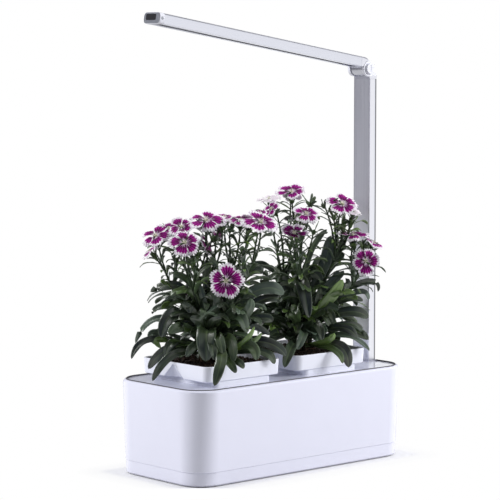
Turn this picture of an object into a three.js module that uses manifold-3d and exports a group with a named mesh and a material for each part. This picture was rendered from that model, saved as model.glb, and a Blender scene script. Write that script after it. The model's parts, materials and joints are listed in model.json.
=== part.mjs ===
// Countertop hydroponic garden: water base, deck, two lift-out pots with dianthus plants, tilting lamp arm.
// Millimetres, +Z up. The origin is the centre of the base footprint on the table, +X points to the post.
import * as THREE from 'three';
import { mergeVertices } from 'three/addons/utils/BufferGeometryUtils.js';
import Module from 'manifold-3d';

const wasm = await Module();
wasm.setup();

// base outline
const baseLength = 360;
const baseWidth = 165;
const baseCorner = 36;
const baseDraft = 2.7;

// outer shell
const shellWall = 3.2;
const shellBottom = 18.4;
const shellTop = 117.2;
const shellTopRound = 3.3;
const rimWidth = 4;
const rimInnerRound = 0.4;
const ledgeWidth = 2.2;
const ledgeThickness = 3;
const ledgeSlope = 4;
const bossEndInset = 13;
const bossSideInset = 36.5;
const bossRadius = 4.5;
const bossBottom = 20;
const bossTop = 44;
const bossWebThickness = 3;
const bossWebBottom = 23;
const bossWebReach = 8.4;

// bottom cover
const coverBottom = 1.2;
const coverTop = 18;
const coverInset = 0.7;
const coverChamfer = 1.6;
const coverFloor = 2.5;
const lipGap = 0.3;
const lipThickness = 1.6;
const lipTop = 22;
const restRadius = 15;
const linerRibWidth = 3;
const linerRibEndGap = 12.75;
const linerRibSideGap = 28.5;
const linerBottom = 6;

// feet and cover screws
const footRadius = 8;
const footDish = 0.6;
const footEndInset = 32;
const footSideInset = 28.5;
const screwHeadRadius = 2.9;
const screwHeadHeight = 2;
const screwRadius = 1.5;
const screwLength = 26;
const screwHeadSeat = 5;
const screwSocketRadius = 1.3;
const screwSocketDepth = 1.1;
const screwClearance = 0.35;
const headCrownShare = 0.8;
const headSideShare = 0.6;
const screwTipShare = 0.4;

// water tank
const tankEndGap = 19;
const bayLength = 51.5;
const tankSideGap = 8;
const tankCorner = 28;
const tankTop = 112.6;
const tankWall = 2;
const tankDraft = 1.2;
const tankBottomRound = 3;

// level float and its guide
const guideFlangeRadius = 9;
const guideFlangeThickness = 2;
const guideRadius = 3;
const guideStopRadius = 6.5;
const guideStopTop = 14.5;
const guideStopThickness = 2;
const floatRadius = 13;
const floatBore = 3.7;
const floatHeight = 20;
const floatGap = 0.5;
const floatRound = 2.5;

// electronics bay
const boardEndInset = 28;
const boardHalfX = 14;
const boardBossGap = 8;
const boardThickness = 1.6;
const boardBottom = 12;
const boardCorner = 2;
const boardHoleInset = 4.5;
const boardScrewRadius = 1.1;
const boardScrewHead = 2.1;
const boardScrewHeadHeight = 1.4;
const boardScrewLength = 8;
const standoffRadius = 3;
const inletEndInset = 42;
const inletZ = 35;
const inletFlangeRadius = 5.6;
const inletFlangeThickness = 0.9;
const inletBarrelRadius = 4;
const inletBarrelLength = 13;
const inletBoreRadius = 2.9;
const inletBoreDepth = 9;
const inletPinRadius = 0.9;
const inletPadRadius = 8;
const inletPadDepth = 6.5;
const inletNutRadius = 6.2;
const inletNutThickness = 2.4;
const inletTailHalf = 4.5;
const inletTailLength = 6;
const fitGap = 0.3;

// deck
const deckRecess = 0.6;
const deckThickness = 3;
const deckGap = 0.3;
const deckEdge = 0.5;
const deckPotGap = 0.5;

// pots
const potEndGap = 31.5;
const potPostGap = 59.1;
const potBetween = 25.4;
const potSideGap = 19;
const potCorner = 10;
const potRimBottom = 123.6;
const potRimTop = 142.7;
const potRimTaper = 0.8;
const potRimRound = 1.3;
const potRimEdge = 0.8;
const potWall = 2.4;
const potBandEndInset = 15;
const potBandSideInset = 2.5;
const potNeckInset = 2.8;
const potNeckCorner = 8;
const potFloorInset = 5.2;
const potFloorZ = 46;
const potFloorThickness = 2.2;
const potFloorChamfer = 2;
const scoopHalfWidth = 20.5;
const scoopDepth = 10.5;
const scoopTopGap = 1.2;
const scoopWall = 2.2;
const scoopStartShare = -0.2;
const wickSlotHalfX = 9;
const wickSlotHalfY = 1.8;

// growing medium and wick
const mediumTop = 138.6;
const mediumMound = 1.6;
const mediumGap = 0.3;
const mediumCrownShare = 0.8;
const wickHeadHalfX = 12;
const wickHeadHalfY = 4;
const wickHeadThickness = 1.4;
const wickThickness = 1.4;
const wickBottom = 10;
const wickGap = 0.4;

// lamp post and its foot
const postEndInset = 13;
const postY = -11;
const postHalfX = 6.3;
const postHalfY = 15;
const postCorner = 1.3;
const postWall = 1.5;
const postTop = 484.3;
const collarGrow = 1.5;
const footPlate = 2;
const footPlateEdge = 0.5;
const spigotTop = 160;
const spigotGap = 0.25;
const shankHalfX = 4.2;
const shankHalfY = 11.5;
const shankShort = 0.4;
const clampHalfX = 8.3;
const clampHalfY = 25;
const clampShift = 3.2;
const clampThickness = 2;
const clampCorner = 2;
const clampScrewPitch = 14;
const clampScrewRadius = 1.5;
const clampScrewHead = 2.8;
const clampScrewHeadHeight = 2;
const clampScrewLength = 16;
const leadRadius = 1.8;

// hinge at the post top
const hingeShift = 7;
const hingeRise = 13.4;
const discRadius = 10.3;
const cheekThickness = 4;
const yokePlugLength = 44.3;
const yokeCollarHeight = 5.2;
const yokeCollarEdge = 1.5;
const yokeNeckShares = [
  [0.03, -0.96], [1.29, -0.96], [1.2, -0.76], [1.07, -0.58], [0.99, -0.42], [0.953, -0.3], [0.03, -0.1],
];
const barrelRadius = 9;
const barrelGap = 0.5;
const washerThickness = 0.5;
const washerGap = 0.1;
const washerRadius = 8;
const pinRadius = 3;
const pinGap = 0.15;
const pinHeadRadius = 5;
const pinHeadThickness = 1.2;
const pinLength = 31.9;
const nutRadius = 5.2;
const nutThickness = 2.4;
const nutRecess = 1.4;
const nutRecessRadius = 5.6;
const springWasherRadius = 5;
const springWasherThickness = 0.8;
const capRadius = 7.4;
const capWall = 1.1;
const capFrontDepth = 2.6;
const capRearDepth = 3.4;
const capEdge = 0.7;
const capSlotHalfWidth = 0.7;
const capSlotHalfLength = 4.6;
const capSlotDepth = 0.5;

// lamp arm, measured along the arm from the hinge axis
const armTiltAngle = 8.9 * Math.PI / 180;
const armRise = 7;
const armHalfThickness = 6.5;
const armHalfWidth = 15;
const armCorner = 2.4;
const armWall = 1.3;
const armGroove = 0.4;
const seatGap = 0.1;
const armStart = 15;
const armEnd = 346.8;
const armLipWidth = 6.6;
const knuckleClear = 0.6;
const knuckleTopStart = 7.8;
const knuckleChamferX = 3.4;
const knuckleChamferZ = 10.6;
const armPlugLength = 11;
const armPlugHalfWidth = 12.6;
const armPlugHalfThickness = 3.6;
const armPlugDrop = 0.5;
const lensThickness = 1.6;
const lensGap = 0.25;
const ledBoardHalfWidth = 11;
const ledBoardThickness = 1.2;
const ledBoardMargin = 16;
const ledHalf = 1.75;
const ledHeight = 1.6;
const ledTapeThickness = 0.5;
const ledTapeHalfWidth = 2.6;
const ledRowOffset = 3.4;
const ledCount = 14;
const tipLength = 7;
const tipGrow = 0.4;
const tipCorner = 4.2;
const tipEdge = 0.4;
const bezelHalfWidth = 14.8;
const bezelHalfThickness = 6.3;
const bezelThickness = 0.8;
const bezelCorner = 3.8;
const windowHalfWidth = 9.15;
const windowHalfThickness = 3.6;
const windowThickness = 1;
const windowCorner = 1.4;
const windowRise = 1.1;
const windowShift = 2;
const sidePlugRadius = 1.8;
const sidePlugDepth = 0.6;

// plants
const plantReachShare = 1.64;
const crownRadius = 9;
const crownHeight = 9;
const crownEdge = 2.5;
const knobRadius = 4;
const knobHeight = 4;
const leafRootRadius = 6;
const leafRootHeight = 4.5;
const leafThickness = 1.3;
const stalkRadius = 1.2;
const calyxRadius = 2.5;
const calyxLength = 15;
const massLeaves = 8;
const massNotchShare = 0.86;
const petalThickness = 1;
const flowerHubRadius = 3;
const flowerCup = 0.16;
const plantGap = 0.35;
const leafStations = [0, 0.34, 0.72, 1];
const leafWidthShares = [0.22, 0.9, 0.9, 0.1];
const leafThicknessShares = [1, 1, 0.9, 0.4];
const leafFoldShare = 0.12;
const stalkStations = [0, 0.4, 0.75, 1];
const petalNotchShares = [0.8, 1];
const stalkSides = 4;
const petalCount = 5;
const budRadiusShare = 0.09;
const knobShare = 0.25;
const stemSpreadShare = 0.8;
const stemRiseShare = 0.75;

// plant tables are shares of the plant's reach, measured from the middle of the soil surface
// each leaf: tip x, y, z, knee x, y, z, width
const leafShares = {
  left: [
    [-0.64, 0.7, 0.21, -0.35, 0.38, 0.65, 0.09],
    [-0.96, 0.38, 0.08, -0.53, 0.21, 0.59, 0.09],
    [-0.51, 0.52, 0.59, -0.22, 0.22, 0.84, 0.1],
    [-0.46, 0.61, 0.85, -0.19, 0.26, 0.76, 0.16],
    [-0.65, 0.24, 0.37, -0.36, 0.13, 0.8, 0.11],
    [-0.48, -0.04, 0.39, -0.27, -0.02, 0.75, 0.11],
    [-0.47, -0.44, 0.09, -0.26, -0.24, 0.74, 0.2],
    [-0.83, 0.13, -0.17, -0.45, 0.07, 0.7, 0.09],
    [-0.68, 0.41, -0.06, -0.39, 0.23, 0.72, 0.09],
    [-0.6, -0.78, -0.15, -0.33, -0.43, 0.75, 0.11],
    [-0.28, -0.77, -0.03, -0.15, -0.42, 0.7, 0.1],
    [-0.17, -0.79, 0.01, -0.09, -0.43, 0.59, 0.1],
    [0.34, -0.43, 0.42, 0.19, -0.24, 0.71, 0.11],
    [0.06, -0.59, 0.44, 0.03, -0.32, 0.8, 0.15],
    [0.43, -0.24, 0.75, 0.18, -0.1, 0.69, 0.1],
    [0.03, 0.04, 1.22, 0.01, 0.02, 0.93, 0.1],
    [0.23, -0.27, 1.1, 0.1, -0.12, 0.87, 0.11],
    [0.54, -0.34, 1.08, 0.23, -0.14, 0.9, 0.1],
    [0.1, -0.73, 0.16, 0.06, -0.4, 0.53, 0.09],
    [0.44, -0.69, 0.04, 0.24, -0.38, 0.51, 0.07],
  ],
  right: [
    [0.33, -0.23, 1.48, 0.14, -0.09, 1.12, 0.16],
    [0.18, -0.5, 0.93, 0.08, -0.21, 0.75, 0.16],
    [0.03, -0.43, 0.73, 0.01, -0.18, 0.65, 0.12],
    [-0.21, -0.41, 0.44, -0.12, -0.23, 0.66, 0.12],
    [0.67, -0.59, 0.68, 0.28, -0.25, 0.69, 0.1],
    [0.9, -0.53, 0.74, 0.38, -0.22, 0.69, 0.1],
    [0.56, -0.7, 0.45, 0.31, -0.39, 0.74, 0.1],
    [0.46, -0.74, 0.21, 0.25, -0.41, 0.58, 0.1],
    [0.51, -0.78, 0.03, 0.28, -0.43, 0.49, 0.09],
    [0.07, -0.86, -0.14, 0.04, -0.47, 0.72, 0.12],
    [-0.4, 0.49, 0.72, -0.17, 0.2, 0.67, 0.1],
    [-0.3, 0, 0.63, -0.13, 0, 0.57, 0.11],
    [-0.26, 0.36, 0.85, -0.11, 0.15, 0.73, 0.09],
    [-0.58, 0.11, 0.16, -0.32, 0.06, 0.52, 0.12],
    [-0.8, -0.6, -0.08, -0.44, -0.33, 0.8, 0.1],
    [-0.37, -0.41, 0.21, -0.2, -0.22, 0.53, 0.09],
  ],
};

// each flower: centre x, y, z, radius, then bearing and pitch of its face in degrees
const flowerShares = {
  left: [
    [-0.48, 0.49, 1.54, 0.17, -162, 50],
    [-0.3, 0.16, 1.47, 0.18, -127, 25],
    [-0.03, 0.08, 1.71, 0.21, -132, 72],
    [0.05, 0.15, 1.44, 0.13, -62, 25],
    [0.34, -0.2, 1.73, 0.08, -122, 60],
    [0.45, -0.4, 1.7, 0.2, -107, 62],
    [-0.05, -0.33, 1.03, 0.23, -132, 14],
    [-0.39, 0.34, 1.65, 0.05, -152, 60],
    [0.09, -0.14, 1.77, 0.05, -132, 60],
    [-0.04, -0.13, 1.57, 0.04, -132, 60],
  ],
  right: [
    [-0.06, 0.06, 2.02, 0.17, -142, 68],
    [-0.21, 0.35, 1.91, 0.13, 168, 65],
    [-0.32, 0.15, 1.82, 0.08, -172, 40],
    [0.03, -0.13, 1.73, 0.13, -112, 58],
    [-0.2, -0.12, 1.54, 0.15, -142, -35],
    [0.39, -0.4, 1.87, 0.2, -117, 36],
    [0.55, -0.43, 1.47, 0.2, -117, 80],
    [0.5, -0.63, 1.18, 0.15, -92, 25],
    [0.14, -0.07, 1.88, 0.04, -122, 60],
    [0.06, -0.24, 1.56, 0.05, -112, 30],
    [-0.02, 0.16, 1.73, 0.08, -162, 50],
    [0.77, -0.61, 1.36, 0.06, -72, 50],
  ],
};

// the leaf mass as tiers of drooping leaf ends: level and radius of each ring
const massShares = [
  [0.04, 0.1], [0.2, 0.26], [0.14, 0.5], [0.3, 0.36], [0.3, 0.56], [0.48, 0.38], [0.5, 0.56], [0.66, 0.34],
  [0.68, 0.5], [0.83, 0.26], [0.86, 0.38], [1.02, 0.12], [1.1, 0.1],
];

// derived places
const bossX = baseLength / 2 - bossEndInset;
const bossY = baseWidth / 2 - bossSideInset;
const footX = baseLength / 2 - footEndInset;
const footY = baseWidth / 2 - footSideInset;
const tankLeft = tankEndGap - baseLength / 2;
const tankRight = baseLength / 2 - bayLength;
const tankHalfWidth = baseWidth / 2 - tankSideGap;
const boardX = baseLength / 2 - boardEndInset;
const boardHalfY = bossY - boardBossGap;
const inletX = baseLength / 2 - inletEndInset;
const inletPadInner = baseWidth / 2 - inletPadDepth;
const postX = baseLength / 2 - postEndInset;
const clampX = postX - clampShift;
const hingeX = postX - hingeShift;
const hingeZ = postTop + hingeRise;
const potHalfX = (baseLength - potEndGap - potPostGap - potBetween) / 4;
const potHalfY = baseWidth / 2 - potSideGap;
const potX = [potEndGap + potHalfX - baseLength / 2, baseLength / 2 - potPostGap - potHalfX];
const potBandHalfX = potHalfX - potBandEndInset;
const potBandHalfY = potHalfY - potBandSideInset;
const potNeckHalfX = potBandHalfX - potNeckInset;
const potNeckHalfY = potBandHalfY - potNeckInset;
const potFloorHalfX = potNeckHalfX - potFloorInset;
const potFloorHalfY = potNeckHalfY - potFloorInset;
const floatX = (potX[0] + potX[1]) / 2;
const plantReach = potHalfX * plantReachShare;

// derived levels
const deckTop = shellTop - deckRecess;
const deckBottom = deckTop - deckThickness;
const floorTop = coverBottom + coverFloor;
const tankCentreX = (tankLeft + tankRight) / 2;
const tankHalfLength = (tankRight - tankLeft) / 2;

// smoothness of round shapes
const cornerSteps = 5;
const smallSteps = 2;
const roundSides = 20;
const smallSides = 8;
const scoopSides = 16;
const hexSides = 6;
const edgeSteps = 3;

// finishes
const finishes = {
  shell: { color: 0xe4e6f2, roughness: 0.32 },
  cover: { color: 0xd9dbe8, roughness: 0.4 },
  rubber: { color: 0x22242a, roughness: 0.9 },
  steel: { color: 0xb4b8c0, roughness: 0.3, metalness: 1 },
  tank: { color: 0xc9ccd6, roughness: 0.6 },
  deck: { color: 0xb9bcc6, roughness: 0.16, metalness: 0.6 },
  pot: { color: 0xf0f1f8, roughness: 0.3 },
  medium: { color: 0x2c211b, roughness: 1 },
  wick: { color: 0xe7e3d6, roughness: 1 },
  float: { color: 0xe48a2a, roughness: 0.5 },
  board: { color: 0x1f5a3a, roughness: 0.6 },
  black: { color: 0x111215, roughness: 0.4 },
  alloy: { color: 0xd7dae2, roughness: 0.35, metalness: 0.7 },
  yoke: { color: 0xf2f3f8, roughness: 0.35 },
  lens: { color: 0x17181c, roughness: 0.15 },
  led: { color: 0xf4edc0, roughness: 0.4 },
  silver: { color: 0xa9adb6, roughness: 0.35, metalness: 0.8 },
  leaf: { color: 0x35502f, roughness: 0.6 },
  petal: { color: 0x8a1068, roughness: 0.6 },
};

// shape helpers

function tidy(geometry) {
  const bare = geometry.clone();
  bare.deleteAttribute('normal');
  bare.deleteAttribute('uv');
  const merged = mergeVertices(bare);
  const source = merged.index.array;
  const kept = [];
  for (let i = 0; i < source.length; i += 3) {
    const [a, b, c] = [source[i], source[i + 1], source[i + 2]];
    if (a !== b && b !== c && c !== a) {
      kept.push(a, b, c);
    }
  }
  const result = new THREE.BufferGeometry();
  result.setAttribute('position', merged.getAttribute('position'));
  result.setIndex(signedVolume(merged.getAttribute('position'), kept) < 0 ? kept.reverse() : kept);
  return result;
}

function signedVolume(position, index) {
  const [a, b, c] = [new THREE.Vector3(), new THREE.Vector3(), new THREE.Vector3()];
  let volume = 0;
  for (let i = 0; i < index.length; i += 3) {
    a.fromBufferAttribute(position, index[i]);
    b.fromBufferAttribute(position, index[i + 1]);
    c.fromBufferAttribute(position, index[i + 2]);
    volume += a.dot(b.cross(c));
  }
  return volume;
}

function solid(geometry) {
  const clean = tidy(geometry);
  return new wasm.Manifold(new wasm.Mesh({
    numProp: 3,
    vertProperties: new Float32Array(clean.getAttribute('position').array),
    triVerts: new Uint32Array(clean.index.array),
  }));
}

function geometryOf(manifold) {
  const mesh = manifold.getMesh();
  const geometry = new THREE.BufferGeometry();
  geometry.setAttribute('position', new THREE.BufferAttribute(new Float32Array(mesh.vertProperties), 3));
  geometry.setIndex(new THREE.BufferAttribute(new Uint32Array(mesh.triVerts), 1));
  return geometry;
}

function join(...pieces) {
  return geometryOf(pieces.map(solid).reduce((sum, piece) => sum.add(piece)));
}

function cut(body, ...tools) {
  return geometryOf(tools.map(solid).reduce((rest, tool) => rest.subtract(tool), solid(body)));
}

function common(first, second) {
  return geometryOf(solid(first).intersect(solid(second)));
}

// a skin through rings of equal point count, capped at both ends or closed on itself
function loft(rings, closed = false) {
  const count = rings[0].length;
  const bands = closed ? rings.length : rings.length - 1;
  const index = [];
  for (let band = 0; band < bands; band += 1) {
    const near = band * count;
    const far = ((band + 1) % rings.length) * count;
    for (let i = 0; i < count; i += 1) {
      const j = (i + 1) % count;
      index.push(near + i, near + j, far + j, near + i, far + j, far + i);
    }
  }
  if (!closed) {
    const last = (rings.length - 1) * count;
    for (let i = 1; i < count - 1; i += 1) {
      index.push(0, i + 1, i, last, last + i, last + i + 1);
    }
  }
  const geometry = new THREE.BufferGeometry();
  const values = rings.flat().flatMap((point) => [point.x, point.y, point.z]);
  geometry.setAttribute('position', new THREE.Float32BufferAttribute(values, 3));
  geometry.setIndex(index);
  return tidy(geometry);
}

// signs of X and Y in the four quarters, anticlockwise
const quarters = [[1, 1], [-1, 1], [-1, -1], [1, -1]];

// rounded rectangle at height z
function rectRing(halfX, halfY, radius, z, centreX = 0, centreY = 0, steps = cornerSteps) {
  return quarters.flatMap(([signX, signY], corner) => (
    Array.from({ length: steps + 1 }, (_, step) => {
      const angle = (corner + step / steps) * Math.PI / 2;
      return new THREE.Vector3(
        centreX + signX * (halfX - radius) + radius * Math.cos(angle),
        centreY + signY * (halfY - radius) + radius * Math.sin(angle),
        z,
      );
    })
  ));
}

function circleRing(radius, z, sides = roundSides) {
  return Array.from({ length: sides }, (_, i) => {
    const angle = 2 * Math.PI * i / sides;
    return new THREE.Vector3(radius * Math.cos(angle), radius * Math.sin(angle), z);
  });
}

// body of revolution round Z from [radius, z] points
function turned(profile, sides = roundSides, closed = false) {
  return loft(profile.map(([radius, z]) => circleRing(radius, z, sides)), closed);
}

function rod(radius, from, to, sides = roundSides) {
  return turned([[radius, from], [radius, to]], sides);
}

function washer(outer, inner, from, to, sides = roundSides) {
  return turned([[outer, from], [outer, to], [inner, to], [inner, from]], sides, true);
}

// upright block with rounded corners and bevelled rims
function slab(halfX, halfY, radius, from, to, edgeLow = 0, edgeHigh = 0, steps = smallSteps) {
  const rings = [];
  if (edgeLow > 0) {
    rings.push(rectRing(halfX - edgeLow, halfY - edgeLow, radius - edgeLow / 2, from, 0, 0, steps));
  }
  rings.push(rectRing(halfX, halfY, radius, from + edgeLow, 0, 0, steps));
  rings.push(rectRing(halfX, halfY, radius, to - edgeHigh, 0, 0, steps));
  if (edgeHigh > 0) {
    rings.push(rectRing(halfX - edgeHigh, halfY - edgeHigh, radius - edgeHigh / 2, to, 0, 0, steps));
  }
  return loft(rings);
}

function box(halfX, halfY, from, to) {
  const geometry = new THREE.BoxGeometry(2 * halfX, 2 * halfY, to - from);
  return geometry.translate(0, 0, (from + to) / 2);
}

// flat outline of [x, z] points pulled from y = from to y = to
function sidePlate(points, from, to) {
  const shape = new THREE.Shape(points.map(([x, z]) => new THREE.Vector2(x, z)));
  const geometry = new THREE.ExtrudeGeometry(shape, { depth: to - from, bevelEnabled: false });
  return geometry.rotateX(Math.PI / 2).translate(0, to, 0);
}

function at(geometry, x, y, z = 0) {
  return geometry.clone().translate(x, y, z);
}

// turns a shape built along Z so that it points along +Y, starting at y
function alongY(geometry, x, y, z) {
  return geometry.clone().rotateX(-Math.PI / 2).translate(x, y, z);
}

// quarter round from the outer face to the top face, as [inset, z] points
function quarter(inset, top, radius, steps = edgeSteps) {
  return Array.from({ length: steps + 1 }, (_, step) => {
    const angle = (step / steps) * Math.PI / 2;
    return [inset + radius * (1 - Math.cos(angle)), top - radius * (1 - Math.sin(angle))];
  });
}

const group = new THREE.Group();
group.name = 'hydroponic_garden';

function part(name, geometry, finish) {
  const { color, roughness, metalness = 0 } = finishes[finish];
  const clean = tidy(geometry);
  clean.computeVertexNormals();
  const mesh = new THREE.Mesh(clean, new THREE.MeshStandardMaterial({ color, roughness, metalness }));
  mesh.name = name;
  group.add(mesh);
}

// base

function baseRing([inset, z]) {
  return rectRing(baseLength / 2 - inset, baseWidth / 2 - inset, baseCorner - inset, z);
}

function wallLean(z) {
  return baseDraft * (shellTop - z) / (shellTop - shellBottom);
}

function bossSpots() {
  return quarters.map(([signX, signY]) => [signX * bossX, signY * bossY]);
}

function outerShell() {
  const ledgeUnder = deckBottom - ledgeThickness;
  const wallStart = ledgeUnder - ledgeSlope;
  const profile = [
    [wallLean(shellBottom), shellBottom],
    ...quarter(wallLean(shellTop), shellTop, shellTopRound),
    [rimWidth - rimInnerRound, shellTop],
    [rimWidth, shellTop - rimInnerRound],
    [rimWidth, deckBottom],
    [rimWidth + ledgeWidth, deckBottom],
    [rimWidth + ledgeWidth, ledgeUnder],
    [shellWall + wallLean(wallStart), wallStart],
    [shellWall + wallLean(shellBottom), shellBottom],
  ];
  const bosses = bossSpots().flatMap(([x, y]) => {
    const webX = x + Math.sign(x) * bossWebReach / 2;
    return [
      at(rod(bossRadius, bossBottom, bossTop, smallSides), x, y),
      at(box(bossWebReach / 2, bossWebThickness / 2, bossWebBottom, bossTop), webX, y),
    ];
  });
  const threads = bossSpots().map(([x, y]) => (
    at(rod(screwRadius + screwClearance, 0, bossTop - bossWebThickness, smallSides), x, y)
  ));
  const outerY = baseWidth / 2;
  const padLength = outerY - shellWall - inletPadInner;
  const pad = alongY(rod(inletPadRadius, 0, padLength), inletX, inletPadInner, inletZ);
  const recessY = inletPadInner + shellWall;
  const recess = alongY(rod(inletFlangeRadius + fitGap, 0, baseDraft + shellWall), inletX, recessY, inletZ);
  const bore = alongY(rod(inletBarrelRadius + fitGap, 0, baseWidth), inletX, 0, inletZ);
  return cut(join(loft(profile.map(baseRing), true), ...bosses, pad), ...threads, recess, bore);
}

function bottomCover() {
  const side = baseDraft + coverInset;
  const lipInset = baseDraft + shellWall + lipGap;
  const tray = loft([
    [side + coverChamfer, coverBottom],
    [side + coverChamfer / 4, coverBottom + coverChamfer],
    [side, coverTop],
    [lipInset, coverTop],
    [lipInset, lipTop],
    [lipInset + lipThickness, lipTop],
    [lipInset + lipThickness, floorTop],
  ].map(baseRing));
  const pillar = rod(bossRadius, coverBottom, bossBottom, smallSides);
  const pillars = bossSpots().map(([x, y]) => at(pillar, x, y));
  const ribs = [-1, 0, 1].map((row) => (
    at(box(tankHalfLength - linerRibEndGap, linerRibWidth / 2, coverBottom, linerBottom),
      tankCentreX, row * (tankHalfWidth - linerRibSideGap))
  ));
  const standoff = rod(standoffRadius, coverBottom, boardBottom, smallSides);
  const standoffs = boardSpots().map(([x, y]) => at(standoff, x, y));
  const rest = rod(restRadius, 0, floorTop);
  const holes = bossSpots().flatMap(([x, y]) => [
    at(rod(screwHeadRadius + screwClearance, 0, screwHeadSeat, smallSides), x, y),
    at(rod(screwRadius + screwClearance, 0, bossTop, smallSides), x, y),
  ]);
  const threads = boardSpots().map(([x, y]) => (
    at(rod(boardScrewRadius + screwClearance, floorTop, bossTop, smallSides), x, y)
  ));
  return cut(join(tray, ...pillars, ...ribs, ...standoffs, rest), ...holes, ...threads);
}

function hexNut(radius, threadRadius, thickness) {
  return cut(rod(radius, 0, thickness, hexSides), rod(threadRadius + pinGap, -thickness, 2 * thickness));
}

// pan-head screw pointing up, head underside on z = 0, hex socket in the head
function screw(head, headHeight, shank, length) {
  const body = turned([
    [head * headCrownShare, -headHeight], [head, -headHeight * headSideShare], [head, 0], [shank, 0],
    [shank, length - shank], [shank * screwTipShare, length],
  ], smallSides);
  const depth = Math.min(screwSocketDepth, headHeight * headSideShare);
  const socketRadius = Math.min(screwSocketRadius, head / 2);
  return cut(body, rod(socketRadius, -headHeight - depth, depth - headHeight, hexSides));
}

function coverScrew([x, y]) {
  return at(screw(screwHeadRadius, screwHeadHeight, screwRadius, screwLength), x, y, screwHeadSeat);
}

function rubberFoot(x, y) {
  const profile = [[footRadius - footDish, 0], [footRadius, footDish], [footRadius, coverBottom]];
  return at(turned(profile), x, y);
}

function waterTank() {
  const ring = (inset, z) => (
    rectRing(tankHalfLength - inset, tankHalfWidth - inset, tankCorner - inset, z, tankCentreX)
  );
  return loft([
    ring(tankDraft + tankBottomRound, linerBottom),
    ring(tankDraft, linerBottom + tankBottomRound),
    ring(0, tankTop),
    ring(tankWall, tankTop),
    ring(tankDraft + tankWall, linerBottom + tankBottomRound),
    ring(tankDraft + tankWall + tankBottomRound / 2, linerBottom + tankWall),
  ]);
}

function floatGuide() {
  const stopBottom = guideStopTop - guideStopThickness;
  return at(turned([
    [guideRadius, stopBottom], [guideStopRadius, stopBottom], [guideStopRadius, guideStopTop],
    [guideRadius, guideStopTop], [guideRadius, deckBottom - guideFlangeThickness],
    [guideFlangeRadius, deckBottom - guideFlangeThickness], [guideFlangeRadius, deckBottom],
  ], smallSides), floatX, 0);
}

function levelFloat() {
  const low = guideStopTop + floatGap;
  const high = low + floatHeight;
  return at(turned([
    [floatBore, low], [floatRadius - floatRound, low], [floatRadius, low + floatRound],
    [floatRadius, high - floatRound], [floatRadius - floatRound, high], [floatBore, high],
  ], roundSides, true), floatX, 0);
}

// electronics bay

function boardSpots() {
  const x = boardHalfX - boardHoleInset;
  const y = boardHalfY - boardHoleInset;
  return [[-x, -y], [x, y]].map(([dx, dy]) => [boardX + dx, dy]);
}

// parts on the board as shares of its half sizes: x, y, half length, half width, height over half length
const boardPartShares = [
  [0, 0.52, 0.62, 0.16, 0.9],
  [0.1, 0.12, 0.4, 0.12, 0.35],
  [-0.35, -0.3, 0.3, 0.1, 0.8],
  [0.4, -0.3, 0.26, 0.08, 0.8],
  [0, -0.62, 0.5, 0.13, 0.6],
];

function controlBoard() {
  const top = boardBottom + boardThickness;
  const plate = at(slab(boardHalfX, boardHalfY, boardCorner, boardBottom, top), boardX, 0);
  const pieces = boardPartShares.map(([x, y, length, width, height]) => at(
    box(length * boardHalfX, width * boardHalfY, top - boardThickness / 2, top + height * boardHalfX),
    boardX + x * boardHalfX, y * boardHalfY,
  ));
  const hole = rod(boardScrewRadius + screwClearance, 0, bossTop, smallSides);
  const holes = boardSpots().map(([x, y]) => at(hole, x, y));
  return cut(join(plate, ...pieces), ...holes);
}

function boardScrew([x, y]) {
  const body = screw(boardScrewHead, boardScrewHeadHeight, boardScrewRadius, boardScrewLength);
  return at(body.rotateX(Math.PI), x, y, boardBottom + boardThickness);
}

function dcInlet() {
  const flangeBack = inletPadInner + shellWall;
  const tail = box(inletTailHalf, inletTailHalf, -inletTailLength - inletBarrelLength, -inletBarrelLength);
  const body = join(
    turned([
      [inletBarrelRadius, -inletBarrelLength], [inletBarrelRadius, 0], [inletFlangeRadius, 0],
      [inletFlangeRadius, inletFlangeThickness],
    ]),
    tail,
  );
  const bore = rod(inletBoreRadius, -inletBoreDepth, inletFlangeThickness * 2, smallSides);
  const pin = rod(inletPinRadius, -inletBoreDepth - inletPinRadius, -inletPinRadius, smallSides);
  return alongY(join(cut(body, bore), pin), inletX, flangeBack, inletZ);
}

function inletNut() {
  const nut = hexNut(inletNutRadius, inletBarrelRadius, inletNutThickness);
  return alongY(nut, inletX, inletPadInner - inletNutThickness, inletZ);
}

// deck

function deckPlate() {
  const side = rimWidth + deckGap;
  const plate = loft([
    [side, deckBottom], [side, deckTop - deckEdge], [side + deckEdge, deckTop],
  ].map(baseRing));
  const openings = potX.map((x) => at(slab(
    potNeckHalfX + deckPotGap, potNeckHalfY + deckPotGap, potNeckCorner, 0, shellTop, 0, 0, cornerSteps,
  ), x, 0));
  const footHole = slab(shankHalfX + fitGap, shankHalfY + fitGap, shankHalfX / 2, 0, shellTop);
  return cut(plate, ...openings, at(footHole, postX, postY));
}

// pots

function potRing(halfX, halfY, radius, z) {
  return rectRing(halfX, halfY, radius, z);
}

function scoopCone(side, grow) {
  const radius = (scoopHalfWidth ** 2 + scoopDepth ** 2) / (2 * scoopDepth);
  const height = potRimTop - scoopTopGap - potRimBottom;
  const offset = radius - scoopDepth;
  const rings = [scoopStartShare, 1].map((share) => {
    const base = circleRing(radius * (1 - share) + grow, potRimBottom + share * height, scoopSides);
    base.forEach((point) => {
      point.x += side * (potHalfX + offset * (1 - share));
    });
    return base;
  });
  return loft(rings);
}

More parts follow.
